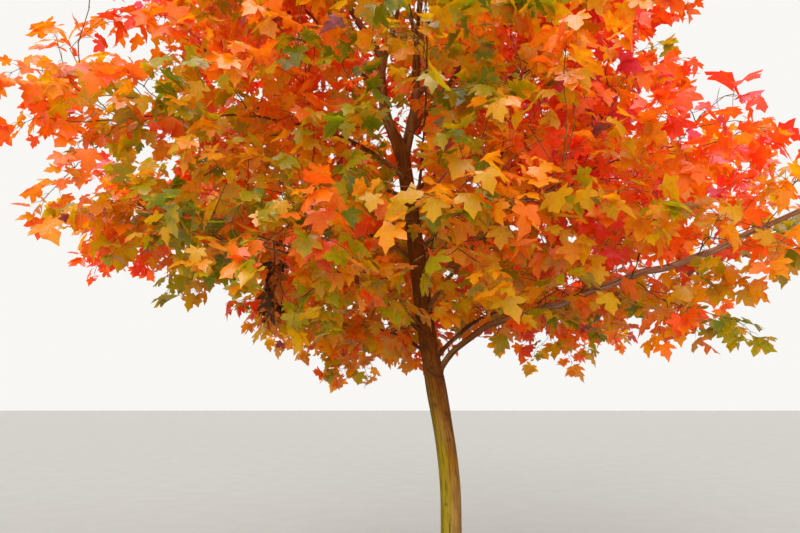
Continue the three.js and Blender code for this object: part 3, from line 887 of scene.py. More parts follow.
def build_limb(name, limb, length, end_share, seat, wander, settings, material, seed):
    """A limb of bark along a route: wide at its seat, with slightly swollen nodes"""
    rings = round(length / LIMB_RING)
    piece = barrel(f"{name}_bark", LIMB_SIDES, (rings,))
    share, angle = barrel_places(piece)
    ring = np.rint(share * rings).astype(int)
    line = curve_through(limb.own, rings + 1)
    side, over = ring_frames(line)
    t = np.arange(rings + 1) / rings
    radius = np.array([limb.radius_at(s) for s in t])
    spread = 1 + seat * np.exp(-t * length / (SEAT_REACH * radius[0]))
    tip = lerp(1, end_share, smoothstep(t * length, length - TIP_FALL, length))
    nodes = np.exp(-((np.remainder(t * length, NODE_STEP) - NODE_STEP / 2) / NODE_SPAN) ** 2)
    stray = wander * radius * smoothstep(t, 0, WANDER_FADE) * smoothstep(1 - t, 0, WANDER_FADE)
    for k, way in enumerate((side, over), 1):
        line = line + way * (stray * wandering(t * length * WANDER_RATE, seed, k))[:, None]
    rounds = (radius * spread * tip * (1 + NODE_SWELL * nodes))[ring]
    distance = share * length
    relief, cracks = bark_relief(angle, distance, seed)
    scale = rounds / FORK_RADIUS
    out = scale * (settings.relief * relief - settings.fissure_depth * cracks)
    outward = side[ring] * np.cos(angle)[:, None] + over[ring] * np.sin(angle)[:, None]
    set_corners(piece, line[ring] + outward * (rounds + out)[:, None])
    shift = 0 if name == STOUT else draw(seed, 7) * PATTERN_SHIFT
    set_bark_places(piece, angle, distance, rounds, cracks, shift)
    smooth(piece)
    finish_piece(piece, material, "bark")
    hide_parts(name)


def stout_limb(limb, radius):
    """The bough with its mass's stem as one limb"""

    def radius_at(share):
        return radius * lerp(1, STOUT_END, smoothstep(share, STOUT_FALL, 1))

    return Limb(limb.route, limb.route, radius_at)


def build_limbs(settings):
    plain = bark_material("bough_bark", settings, "bough")
    weathered = bark_material("weathered_bark", settings, "weathered")
    limbs = grow_limbs()
    for number, row in enumerate((*STEMS, *BOUGHS), 1):
        limb, length, end_share, wander = limbs[row.name], row.length, 1, LIMB_WANDER
        if row.name == STOUT:
            limb, wander = stout_limb(limb, row.radius), STOUT_WANDER
        elif isinstance(row, Bough):
            length, end_share = row.bare, LEAFY_SHARE
        seat = seat_spread(row)
        material = weathered if row.name == STOUT else plain
        build_limb(row.name, limb, length, end_share, seat, wander, settings, material, number)


# Twigs: the masses' stems, the twigs in pairs, and the shoots of the sprays
STEM_RINGS = 26
STEM_SIDES = 8
TWIG_RINGS = 12
TWIG_SIDES = 6
TWIG_TIP = 0.0022
STEM_FALL = 0.3  # what is left of a stem's radius at its tip
TWIG_SEAT = 0.5  # how much wider a twig is at its seat
TWIG_SEAT_FALL = 20  # and how fast that goes
STEM_CROOK = 0.004
TWIG_CROOK = 0.006
FINER_RINGS = 7
FINER_SIDES = 5
FINER_CROOK = 0.004
CROOK_FADE = 0.15  # share of a line at its start where its bends begin
SHOOT_RINGS = 6
SHOOT_SIDES = 4
SHOOT_RADIUS = 0.0024
SHOOT_TIP = 0.0012
SHOOT_SHARE = 0.72  # of a spray's length
SHOOT_PLAY = 0.3
SHOOT_ALONG = 0.5  # how far a shoot starts out along its twig
SHOOT_BENDS = (0.35, 0.4, 0.65)  # shares of its length: to its bend, and on to two more points
SHOOT_CROOK = 0.003
SHOOT_LIFT = 0.35
SHOOT_SINK = 0.004
SHOOT_LEAVES = 2  # a shoot with fewer leaves than this is left out
OPEN_SHOOT_LEAVES = 6  # and in front of a limb that shows, one with fewer than this


def crooked(line, size, seed):
    """The same line with small bends at its nodes"""
    side, over = ring_frames(line)
    t = np.linspace(0, 1, len(line))
    fade = (smoothstep(t, 0, CROOK_FADE) * size)[:, None]
    bend, lift = (
        np.array([play(seed, first + k, 2) for k in range(len(line))])[:, None] for first in (60, 90)
    )
    return line + fade * (side * bend + over * lift)


def shoot_line(spray):
    """The line of a spray's shoot: out along the twig, and over to where the spray lies"""
    length = SHOOT_SHARE * SPRAY_LENGTH * (1 + play(spray.seed, 30, SHOOT_PLAY))
    ahead = unit(spray.ahead + UP * SHOOT_LIFT)
    turn = unit(spray.to * SHOOT_ALONG + ahead)
    begin = spray.root - turn * SHOOT_SINK
    first, second, third = SHOOT_BENDS
    bend = begin + turn * length * first
    tip = bend + unit(ahead + spray.ahead) * length * third
    line = curve_through((begin, bend, bend + ahead * length * second, tip), SHOOT_RINGS)
    return crooked(line, SHOOT_CROOK, spray.seed)


def build_twigs(settings):
    twigs, finer, _ = grow_masses()
    limbs = grow_limbs()
    stem_lines, stem_radii = [], []
    for number, (bough, stem) in enumerate(zip(BOUGHS, grow_stems())):
        if bough.name == STOUT:
            continue
        base = LEAFY_SHARE * limbs[bough.name].radius_at(1)
        line = curve_through(stem, STEM_RINGS)
        stem_lines.append(crooked(line, STEM_CROOK, seed_of(SEED, number)))
        stem_radii.append(base * lerp(1, STEM_FALL, np.linspace(0, 1, STEM_RINGS)))
    fall = np.linspace(0, 1, TWIG_RINGS)
    seat = 1 + TWIG_SEAT * np.exp(-fall * TWIG_SEAT_FALL)
    twig_radii = [lerp(t.radius * seat, TWIG_TIP, fall) for t in twigs]
    twig_lines, finer_lines = (
        [crooked(curve_through(t.points, rings), crook, t.seed) for t in some]
        for some, rings, crook in ((twigs, TWIG_RINGS, TWIG_CROOK), (finer, FINER_RINGS, FINER_CROOK))
    )
    finer_radii = [np.linspace(t.radius, SHOOT_RADIUS, FINER_RINGS) for t in finer]
    corners, faces = joined_arrays((
        tube_arrays(stem_lines, stem_radii, STEM_SIDES),
        tube_arrays(twig_lines, twig_radii, TWIG_SIDES),
        tube_arrays(finer_lines, finer_radii, FINER_SIDES),
    ))
    piece = new_piece("twigs", corners, *faces)
    piece.data.shade_smooth()
    finish_piece(piece, twig_material("twig_bark", settings), "bark")


def build_shoots(sprays, settings):
    lines = [shoot_line(spray) for spray in sprays]
    radii = [np.linspace(SHOOT_RADIUS, SHOOT_TIP, SHOOT_RINGS)] * len(lines)
    piece = new_piece("shoots", *tube_arrays(lines, radii, SHOOT_SIDES))
    piece.data.shade_smooth()
    finish_piece(piece, twig_material("shoot_bark", settings), "bark")


# Leaves. A blade's right half runs from the stalk to its tip, across and along, in blade lengths
BLADE_EDGE = (
    (0.16, -0.10), (0.46, -0.12), (0.45, 0.04), (0.36, 0.13), (0.57, 0.20),
    (0.70, 0.42), (0.50, 0.46), (0.28, 0.46), (0.35, 0.68), (0.16, 0.78),
)
BLADE_NOTCHES = (3, 7)  # of the edge: where two lobes meet
BLADE_VEINS = ((0.28, -0.02), (0.37, 0.27))  # middles of the low and the side lobe
BLADE_TIPS = (1, 5)  # of the edge: the tips of the low and the side lobe
BLADE_FANS = ((0, (0, 1, 2, 3)), (1, (3, 4, 5, 6, 7)))  # a lobe's vein, and its stretch of edge
END_FAN = (7, 8, 9)  # the end lobe's stretch of edge
MIDRIB = ((0, 0), (0, 1), (0, 0.5))  # the corners between the halves: at the stalk, tip and middle
AT_STALK, AT_TIP, AT_MIDDLE = range(3)
TIP_MARGIN = 0.35  # how far a lobe's tip counts as margin
TEMPLATES = 16
BLADE_BENDS = ((0.2, 0.9), (0.24, 0.8), (0.3, 0.9), (0, 0.9))  # fold, curl, roll, twist, and their play
PUCKER = 0.075  # how far the notches stand above the veins
EDGE_PLAY = 0.05
FACE_PLAY = 0.05


def blade_template(number):
    """Corners and faces of one blade, curled in its own way: across, along and up from its face"""
    seed = seed_of(SEED, 900 + number)
    flat, faces, starts = [*MIDRIB], [], []
    for hand in (1, -1):
        start = len(flat)
        starts.append(start)
        flat += [(hand * x, y) for x, y in (*BLADE_EDGE, *BLADE_VEINS)]
        fans = [
            ([AT_STALK, *(start + k for k in part), AT_STALK], start + len(BLADE_EDGE) + vein)
            for vein, part in BLADE_FANS
        ]
        fans.append(([AT_STALK, *(start + k for k in END_FAN), AT_TIP], AT_MIDDLE))
        for ring, middle in fans:
            faces += [(a, b, middle)[::hand] for a, b in zip(ring, ring[1:])]
    flat = np.array(flat, float)
    for k in range(len(flat)):
        if k not in (AT_STALK, AT_MIDDLE):
            flat[k] += (play(seed, 2 * k, EDGE_PLAY), play(seed, 2 * k + 1, EDGE_PLAY))
    x, y = flat.T
    fold, curl, roll, twist = (
        middle + play(seed, k, span) for k, (middle, span) in enumerate(BLADE_BENDS, 100)
    )
    up = fold * np.abs(x) - curl * np.maximum(y, 0) ** 2 - roll * x**2 + twist * x * y
    for start in starts:
        up[[start + k for k in BLADE_NOTCHES]] += PUCKER
    up += np.array([play(seed, 200 + k, FACE_PLAY) for k in range(len(flat))])
    up[AT_STALK] = 0
    return np.column_stack((x, y, up)), np.array(faces)


def blade_margin():
    """How far each corner of a blade is from the veins: 0 on them, 1 at the margin between two tips"""
    edge = [TIP_MARGIN if k in BLADE_TIPS else 1 for k in range(len(BLADE_EDGE))]
    return np.array([0, TIP_MARGIN, 0] + 2 * (edge + [0] * len(BLADE_VEINS)), np.float32)


NODES = (0.24, 0.48, 0.70, 0.88)  # shares of a shoot where its pairs of leaves stand
END_LEAVES = 3
LEAF_GONE = ((-1.6, 0.02), (-0.4, 0.12), (0.7, 0.14), (1.4, 0.32))  # along X, and share fallen there
NODE_PLAY = 50
YOUNG_LEAF = 0.7  # the size that leaves come down to towards a shoot's tip
END_LEAF = YOUNG_LEAF + 0.15
END_SPREAD = 0.45  # how far the leaves at a shoot's tip spread from its line
STALK_ANGLE = 58
STALK_ANGLE_PLAY = 40
STALK_LENGTH_PLAY = 0.7
STALK_PARTS = (0.55, 0.45)  # shares of a stalk up to its elbow, and on from there
STALK_SAG = 0.5
LEAF_LENGTH_PLAY = 0.64
BLADE_DROOP = 32
BLADE_DROOP_PLAY = 96
BLADE_TILT_PLAY = 96
BLADE_SWING_PLAY = 50
STALK_RADIUS = 0.0013
STALK_SIDES = 3
BOX_SPARE = 0.06  # how far a leaf may reach past the solids' box
LIMB_SPARE = 0.02

Leaf = namedtuple("Leaf", "stalk elbow base ahead over length template tint")


def grow_leaf(point, outward, age, seed, tint, settings):
    """One leaf: its stalk bends over from the shoot, and its blade hangs from the stalk's end"""
    length = settings.blade_length * age * (1 + play(seed, 1, LEAF_LENGTH_PLAY))
    reach = settings.stalk_length * age * (1 + play(seed, 2, STALK_LENGTH_PLAY))
    elbow = point + outward * reach * STALK_PARTS[0]
    base = elbow + unit(outward - UP * STALK_SAG) * reach * STALK_PARTS[1]
    level = outward * (1, 1, 0)
    level = unit(level) if np.linalg.norm(level) > UPRIGHT else side_of(outward)
    level = turned_about(level, UP, math.radians(play(seed, 3, BLADE_SWING_PLAY)))
    droop = math.radians(BLADE_DROOP + play(seed, 4, BLADE_DROOP_PLAY))
    ahead = level * math.cos(droop) - UP * math.sin(droop)
    tilt = math.radians(play(seed, 5, BLADE_TILT_PLAY))
    across = turned_about(side_of(ahead), ahead, tilt)
    template = seed_of(seed, 6) % TEMPLATES
    return Leaf(point, elbow, base, ahead, np.cross(across, ahead), length, template, tint)


def spray_leaves(spray, settings):
    """Pairs of leaves along a spray's shoot, each pair turned a quarter round, and some at its tip"""
    line = shoot_line(spray)
    side, over = ring_frames(line)
    length = np.linalg.norm(line[-1] - line[0])
    turned = spray_turning(spray)
    gone = np.interp(spray.middle[0], *zip(*LEAF_GONE))
    leaves = []
    for pair, share in enumerate(NODES):
        point, to = along(line, share * length)
        ring = round(share * (SHOOT_RINGS - 1))
        for hand in (0, 1):
            seed = seed_of(spray.seed, 300 + 2 * pair + hand)
            if draw(seed, 9) < gone:
                continue
            roll = math.radians(180 * hand + 90 * (pair % 2) + play(seed, 7, NODE_PLAY))
            outward = side[ring] * math.cos(roll) + over[ring] * math.sin(roll)
            angle = math.radians(STALK_ANGLE + play(seed, 8, STALK_ANGLE_PLAY))
            outward = to * math.cos(angle) + outward * math.sin(angle)
            age = lerp(1, YOUNG_LEAF, share)
            leaves.append(grow_leaf(point, outward, age, seed, leaf_tint(turned, seed), settings))
    for number in range(END_LEAVES):
        seed = seed_of(spray.seed, 350 + number)
        roll = 2 * math.pi * number / END_LEAVES + play(seed, 7, 1)
        outward = side[-1] * math.cos(roll) + over[-1] * math.sin(roll)
        outward = unit(unit(line[-1] - line[-2]) + outward * END_SPREAD)
        tint = leaf_tint(turned, seed)
        leaves.append(grow_leaf(line[-1], outward, END_LEAF, seed, tint, settings))
    return leaves


# Autumn: each tint's slot, and the tint that shows on it in blotches
Tint = namedtuple("Tint", "key name code slot further")
TINTS = (
    Tint("deep_green", "Deep green", "647006", "olive_leaves", "old_gold"),
    Tint("olive", "Olive", "8e8406", "olive_leaves", "amber"),
    Tint("old_gold", "Old gold", "b88e06", "amber_leaves", "orange"),
    Tint("amber", "Amber", "cc8408", "amber_leaves", "flame"),
    Tint("orange", "Orange", "da6c08", "orange_leaves", "scarlet"),
    Tint("flame", "Flame", "e45208", "orange_leaves", "scarlet"),
    Tint("scarlet", "Scarlet", "de3a0c", "red_leaves", "flame"),
    Tint("crimson", "Crimson", "ce2a1a", "crimson_leaves", "scarlet"),
    Tint("rose", "Rose", "c23c48", "crimson_leaves", "crimson"),
    Tint("plum", "Plum", "6c3a38", "crimson_leaves", "crimson"),
)
RED_STALKS = 4  # from which tint on the stalks are red

# The leaves have turned furthest at the crown's right, then at its left, behind and above, and least
# in front and low down. The step from front to back is partly painted shade and light: leaves in front,
# on the shaded side, get greener and darker tints, and leaves behind, lit through, redder and brighter ones
PLUM_SHARE = 0.012
TURN_MIDDLE = -0.3  # the side to side place of the crown's middle
TURN_REACH = 2.0
TURN_START = 0.36
# How far out, and how much further the leaves have turned there
TURN_RIGHT = ((0, 0), (0.3, 0.1), (0.55, 0.36), (0.8, 0.4), (1, 0.33), (1.3, 0.26))
TURN_LEFT = ((0, 0), (0.5, 0.08), (1, 0.28))
TURN_BACK_AND_PAINTED_SHADE = 0.07  # for each metre to the back, as far as the next value; partly painted shade in front and painted light behind
TURN_BACK_AND_PAINTED_SHADE_TO = 0.9
TURN_RISE = 0.085  # for each metre above TURN_RISE_FROM, as far as TURN_RISE_TO
TURN_RISE_FROM = 2.8
TURN_RISE_TO = 4.2
# The height, and how much of that shows there
TURN_RIGHT_HEIGHTS = ((2, 0), (2.4, 0.4), (2.7, 1), (3.2, 1), (3.7, 0.22), (4.4, 0.2))
TURN_LEFT_HEIGHTS = ((2, 0), (2.6, 0.35), (3.2, 1), (4.4, 0.9))
TURN_MASS_PLAY = 0.15
TURN_SPRAY_PLAY = 0.46
TURN_LEAF_PLAY = 0.24
FULLY_TURNED = 0.999


def spray_turning(spray):
    """How far a spray's leaves have turned, from 0 to 1, its step from front to back partly painted shade
    and light
    """
    x, y, z = spray.middle
    outward = abs(x - TURN_MIDDLE) / TURN_REACH
    right = x > TURN_MIDDLE
    aside = np.interp(outward, *zip(*(TURN_RIGHT if right else TURN_LEFT)))
    aside *= np.interp(z, *zip(*(TURN_RIGHT_HEIGHTS if right else TURN_LEFT_HEIGHTS)))
    rise = np.clip(z, TURN_RISE_FROM, TURN_RISE_TO) - TURN_RISE_FROM
    # the step to the back: greener, darker tints in front as painted shade, redder, brighter ones behind as
    # painted light
    turned = TURN_START + aside + TURN_BACK_AND_PAINTED_SHADE * min(y, TURN_BACK_AND_PAINTED_SHADE_TO) + TURN_RISE * rise
    turned += play(seed_of(SEED, spray.mass), 41, TURN_MASS_PLAY)
    return turned + play(spray.seed, 42, TURN_SPRAY_PLAY)


def leaf_tint(turned, seed):
    """The number of a leaf's tint: its spray's, or a tint next to it, and now and then the darkest"""
    if draw(seed, 40) < PLUM_SHARE:
        return len(TINTS) - 1
    turned += play(seed, 43, TURN_LEAF_PLAY)
    return int(np.clip(turned, 0, FULLY_TURNED) * (len(TINTS) - 1))


# Where the leaves in front stand open, seen from the camera's place: a limb, the stem that goes on
# from it or the hanging clump, the stretch of it that shows, from and to as shares, how wide the
# opening is to each side, and the share of leaves gone
OPENINGS = (
    ("trunk", 0.76, 1.0, 0.11, 0.92),
    ("trunk", 0.5, 0.76, 0.1, 0.75),
    ("left_stem", 0.0, 1.0, 0.08, 0.9),
    ("right_stem", 0.0, 1.0, 0.08, 0.9),
    ("right_limb", 0.0, 0.8, 0.06, 0.8),
    ("leader_outer_left", 0.0, 1.0, 0.055, 0.8),
    ("leader_outer_left_stem", 0.0, 0.6, 0.05, 0.7),
    ("leader_back", 0.0, 1.0, 0.045, 0.7),
    ("leader_top", 0.0, 1.0, 0.05, 0.8),
    ("leader_top_stem", 0.0, 0.5, 0.05, 0.7),
    ("leader_front_right", 0.0, 1.0, 0.045, 0.8),
    ("leader_front_left", 0.0, 1.0, 0.045, 0.8),
    ("left_middle", 0.0, 0.8, 0.04, 0.6),
    ("right_middle", 0.0, 0.8, 0.04, 0.6),
    ("left_long", 0.0, 0.9, 0.05, 0.75),
    ("right_rising", 0.3, 1.0, 0.045, 0.8),
    ("right_rising_stem", 0.0, 0.55, 0.045, 0.75),
    ("low_right", 0.0, 1.0, 0.06, 0.85),
    ("low_right_stem", 0.0, 1.0, 0.06, 0.85),
    ("clump", 0.1, 1.0, 0.13, 1.0),
)
OPENING_STEPS = 39  # along a limb
LEAF_PARTS = 16  # in which the leaves' room is worked out


def staying(leaves):
    """Which leaves stay: in the solids' box, with a little to spare, and off the limbs"""
    low, high = (np.array(corner) for corner in cad_box)
    tips = np.array([leaf.base + leaf.ahead * leaf.length for leaf in leaves])
    bases = np.array([leaf.base for leaf in leaves])
    inside = ((tips > low - BOX_SPARE) & (tips < high + BOX_SPARE)).all(axis=1)
    middles = (tips + bases) / 2
    room = np.concatenate([room_to_limbs(part) for part in np.array_split(middles, LEAF_PARTS)])
    from_clump, _ = nearest(middles, *stretches([hanging_line()]))
    return inside & (room > LIMB_SPARE) & (from_clump[:, 0] > CLUMP_ROOM) & ~in_openings(middles)


def seen(points):
    """Where points lie as seen from the camera, across and up, and how far in front of it"""
    rise = math.radians(CAMERA_RISE)
    offset = points - np.array(CAMERA_PLACE)
    depth = offset @ direction(90, CAMERA_RISE)
    up = offset @ np.array((0, -math.sin(rise), math.cos(rise)))
    return np.stack((offset[:, 0], up), axis=-1) / depth[:, None], depth


def in_openings(middles):
    """Which places lie in an opening, in front of its limb"""
    lines = {name: limb.own for name, limb in grow_limbs().items()}
    lines.update({f"{bough.name}_stem": stem for bough, stem in zip(BOUGHS, grow_stems())})
    lines["clump"] = hanging_line()
    flat, depth = seen(middles)
    inside = np.zeros(len(middles), bool)
    for number, (name, start, end, width, gone) in enumerate(OPENINGS):
        line = curve_through(lines[name], OPENING_STEPS + 1)
        line = line[round(start * OPENING_STEPS) : round(end * OPENING_STEPS) + 1]
        line_flat, line_depth = seen(line)
        gap, place = nearest(flat, *stretches([line_flat]))
        behind = np.interp(place[:, 0], np.arange(len(line)), line_depth)
        hit = (gap[:, 0] * behind < width) & (depth < behind)
        seed = seed_of(SEED, 500 + number)
        inside |= hit & np.array([draw(seed, k) < gone for k in range(len(middles))])
    return inside


def blade_arrays(leaves, templates):
    """Corners and faces of the blades of several leaves"""
    shapes = np.array([templates[leaf.template][0] for leaf in leaves])
    ahead = np.array([leaf.ahead for leaf in leaves])
    over = np.array([leaf.over for leaf in leaves])
    across = np.cross(ahead, over)
    base = np.array([leaf.base for leaf in leaves])
    length = np.array([leaf.length for leaf in leaves])[:, None, None]
    axes = np.stack((across, ahead, over), axis=1)
    corners = base[:, None, :] + length * np.einsum("nvk,nkc->nvc", shapes, axes)
    faces = templates[0][1][None] + np.arange(len(leaves))[:, None, None] * shapes.shape[1]
    return corners.reshape(-1, 3), faces.reshape(-1, 3)


# A clump of withered leaves that hangs from a twig, and a dead stub low on the trunk
CLUMP_PLACE = (-1.091, -0.411, 2.354)  # the clump hangs from the stem nearest to this place
CLUMP_DROP = 0.43
CLUMP_LINE = ((0, 0, 0.005), (0.03, -0.02, -0.2), (0.015, -0.01, -0.6), (0, 0, -1))  # in drops
CLUMP_RADIUS = 0.0026
CLUMP_SEAT = 1.5  # how much wider the dead twig is at its seat
CLUMP_RINGS = 12
CLUMP_SIDES = 6
CLUMP_ROOM = 0.12  # clear of other leaves
CLUMP_STALK = 0.04
CLUMP_STALK_PLAY = 0.6
CLUMP_STALK_BEND = (0.6, 0.004)  # the share of a stalk where it bends, and how far up
CLUMP_RISE = -20
CLUMP_TURN_PLAY = 24
CLUMP_DROP_PLAY = 0.03
CLUMP_DROOP_PLAY = 20
CLUMP_TILT_PLAY = 70
CLUMP_BLADE_PLAY = 0.3
Tier = namedtuple("Tier", "share count heading blade droop tint")  # share down the twig
CLUMP_TIERS = (
    Tier(0.38, 5, -90, 0.075, 30, "dark"),
    Tier(0.46, 3, -118, 0.185, 74, "rust"),
    Tier(0.54, 3, -62, 0.175, 76, "rust"),
    Tier(0.74, 4, -100, 0.150, 58, "dark"),
    Tier(0.80, 3, -60, 0.135, 62, "dark"),
    Tier(0.90, 3, -120, 0.110, 76, "rust"),
    Tier(0.99, 2, -80, 0.115, 84, "rust"),
)
WITHERED_FOLD = (34, 40)  # degrees by which a dead blade's halves fold, and their play
WITHERED_ROLL = (60, 60)  # and by which it rolls under
WITHERED_RELIEF = 0.6
WITHERED_WIDTH = 0.85
WITHERED_SINK = 0.45
STUB = (1.705, -28, 78, 0.075, 0.011)  # height on the trunk, heading, rise, length, radius
STUB_RINGS = 8
STUB_SIDES = 10
STUB_CROOK = 0.002
STUB_SEAT = 0.6  # how much wider it is at its seat
STUB_SEAT_FALL = 6
STUB_TAPER = 0.35


@functools.cache
def hanging_line():
    """A thin dead twig that hangs down from the nearest stem of a mass in a slight curve"""
    points, _ = attach_places(grow_stems())
    root = points[np.linalg.norm(points - CLUMP_PLACE, axis=1).argmin()]
    return curve_through([root + np.array(share) * CLUMP_DROP for share in CLUMP_LINE], CLUMP_RINGS)


def withered_blade(number):
    """A dead blade: its halves folded together, its tip and lobes rolled under"""
    shape, faces = blade_template(number)
    seed = seed_of(SEED, 700 + number)
    x, y, up = shape.T
    fold, roll = (
        math.radians(middle + play(seed, k, span))
        for k, (middle, span) in enumerate((WITHERED_FOLD, WITHERED_ROLL), 1)
    )
    side, rise = x * math.cos(fold), -np.abs(x) * math.sin(fold) + up * WITHERED_RELIEF
    bend = np.maximum(y, 0) * roll
    reach = np.sin(bend) / bend.max() * np.maximum(y, 0).max() + np.minimum(y, 0)
    sink = rise - (1 - np.cos(bend)) * WITHERED_SINK
    return np.column_stack((side * WITHERED_WIDTH, reach, sink)), faces


def clump_leaf(tier, turn, seed):
    """A dead leaf that hangs from the twig on a short stalk"""
    stand = hanging_line()[round(tier.share * (CLUMP_RINGS - 1))]
    outward = direction(tier.heading + turn + play(seed, 2, CLUMP_TURN_PLAY), CLUMP_RISE)
    base = stand + outward * CLUMP_STALK * (1 + play(seed, 3, CLUMP_STALK_PLAY))
    base = base - UP * play(seed, 7, CLUMP_DROP_PLAY)
    hang = math.radians(tier.droop + play(seed, 4, CLUMP_DROOP_PLAY))
    level = unit(outward * (1, 1, 0))
    ahead = level * math.cos(hang) - UP * math.sin(hang)
    across = turned_about(side_of(level), ahead, math.radians(play(seed, 5, CLUMP_TILT_PLAY)))
    length = tier.blade * (1 + play(seed, 6, CLUMP_BLADE_PLAY))
    share, lift = CLUMP_STALK_BEND
    elbow = lerp(stand, base, share) + UP * lift
    return Leaf(stand, elbow, base, ahead, np.cross(across, ahead), length, seed % TEMPLATES, tier.tint)


def build_clump(settings):
    """The withered clump: its hanging twig, and tiers of dead leaves down its lower part"""
    radii = np.linspace(CLUMP_RADIUS * CLUMP_SEAT, CLUMP_RADIUS, CLUMP_RINGS)
    twig = new_piece("dead_twig", *tube_arrays([hanging_line()], [radii], CLUMP_SIDES))
    twig.data.shade_smooth()
    finish_piece(twig, stalk_material("dead_twig", settings.withered_dark), "bark")
    leaves = [
        clump_leaf(tier, 360 * number / tier.count, seed_of(SEED, 720 + 10 * row + number))
        for row, tier in enumerate(CLUMP_TIERS) for number in range(tier.count)
    ]
    templates = [withered_blade(number) for number in range(TEMPLATES)]
    rust, dark = settings.withered, settings.withered_dark
    for tint, colours in (("rust", (rust, dark)), ("dark", (dark, rust))):
        of_tint = [leaf for leaf in leaves if leaf.tint == tint]
        piece = new_piece(f"withered_leaves_{tint}", *blade_arrays(of_tint, templates))
        finish_piece(piece, withered_material(f"withered_{tint}", *colours), "bark")
    build_stalks("withered_stalk", leaves, rust, "bark")


def build_stub(settings):
    height, heading, rise, length, radius = STUB
    middle = trunk_middle(height)
    root = middle + direction(heading, 0) * (trunk_radius(height, math.radians(heading)) - radius)
    line = curve_through([root, root + direction(heading, rise) * length], STUB_RINGS)
    line = crooked(line, STUB_CROOK, seed_of(SEED, 690))
    fall = np.linspace(0, 1, STUB_RINGS)
    radii = radius * (1 + STUB_SEAT * np.exp(-fall * STUB_SEAT_FALL) - STUB_TAPER * fall)
    piece = new_piece("dead_stub", *tube_arrays([line], [radii], STUB_SIDES))
    smooth(piece)
    finish_piece(piece, twig_material("dead_stub", settings), "bark")


def build_leaves(settings, bark_settings):
    sprays = grow_masses()[2]
    rows = [(spray, leaf) for spray in sprays for leaf in spray_leaves(spray, settings)]
    stay = staying([leaf for _, leaf in rows])
    rows = [row for row, stays in zip(rows, stay) if stays]
    dressed = Counter(spray.seed for spray, _ in rows)
    bare = in_openings(np.array([spray.middle for spray in sprays]))
    least = np.where(bare, OPEN_SHOOT_LEAVES, SHOOT_LEAVES)
    build_shoots([s for s, number in zip(sprays, least) if dressed[s.seed] >= number], bark_settings)
    leaves = [leaf for _, leaf in rows]
    by_tint = [[leaf for leaf in leaves if leaf.tint == number] for number in range(len(TINTS))]
    made = [build_tint(tint, some, settings) for tint, some in zip(TINTS, by_tint) if some]
    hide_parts(*(f"leaves_{bough.name}" for bough in BOUGHS))
    yellow = [leaf for leaf in leaves if leaf.tint < RED_STALKS]
    red = [leaf for leaf in leaves if leaf.tint >= RED_STALKS]
    build_stalks("yellow_stalk", yellow, settings.stalk_yellow, "amber_leaves")
    build_stalks("red_stalk", red, settings.stalk_red, "red_leaves")


def build_tint(tint, leaves, settings):
    """The blades of one tint"""
    templates = [blade_template(number) for number in range(TEMPLATES)]
    piece = new_piece(f"leaves_{tint.key}", *blade_arrays(leaves, templates))
    margin = piece.data.attributes.new("margin", "FLOAT", "POINT")
    margin.data.foreach_set("value", np.tile(blade_margin(), len(leaves)))
    colour, further = (getattr(settings, key) for key in (tint.key, tint.further))
    return finish_piece(piece, leaf_material(f"leaf_{tint.key}", colour, further, settings), tint.slot)


def build_stalks(name, leaves, colour, slot):
    lines = np.array([(leaf.stalk, leaf.elbow, leaf.base) for leaf in leaves])
    piece = new_piece(f"{name}s", *stalk_arrays(lines))
    piece.data.shade_smooth()
    finish_piece(piece, stalk_material(name, colour), slot)


def stalk_arrays(lines):
    """Corners and faces of leaf stalks: three-sided, through an elbow to a point under the blade"""
    side, over = ring_frames(lines)
    angle = 2 * math.pi * np.arange(STALK_SIDES) / STALK_SIDES
    rim = side[:, :2, None] * np.cos(angle)[:, None] + over[:, :2, None] * np.sin(angle)[:, None]
    rings = lines[:, :2, None] + rim * STALK_RADIUS
    corners = np.concatenate((rings.reshape(len(lines), -1, 3), lines[:, 2:]), axis=1)
    low, high = np.arange(STALK_SIDES), np.arange(STALK_SIDES) + STALK_SIDES
    walls = np.stack((low, np.roll(low, -1), np.roll(high, -1), high), axis=-1)
    tip = np.full(STALK_SIDES, 2 * STALK_SIDES)
    ends = np.concatenate((low[None, ::-1], np.stack((high, np.roll(high, -1), tip), axis=-1)))
    first = (np.arange(len(lines)) * (2 * STALK_SIDES + 1))[:, None, None]
    return corners.reshape(-1, 3), (walls + first).reshape(-1, 4), (ends + first).reshape(-1, 3)


# Patterns: their steps in a metre, for bark round the limb and along it, and their detail
PATCHES = ((11, 11, 4), 3)
CLOUDS = ((26, 26, 9), 5)
STREAKS = ((75, 75, 10), 4)
GRAIN = ((420, 420, 90), 5, 0.7)
SMUDGES = ((38, 38, 20), 3)
PORES = (62, 62, 110)
TWIG_PATCHES = ((30, 30, 30), 4)
TWIG_GRAIN = ((500, 500, 500), 3)
LEAF_GRAIN = ((160, 160, 160), 3)
LEAF_BLOTCHES = ((17, 17, 17), 3)
LEAF_SPOTS = ((48, 48, 48), 2)
WITHERED_BLOTCHES = ((22, 22, 22), 3)
WITHERED_GRAIN = ((130, 130, 130), 4)
STALK_GRAIN = ((200, 200, 200), 2)
FLOOR_GRAIN = ((3, 3, 3), 4)

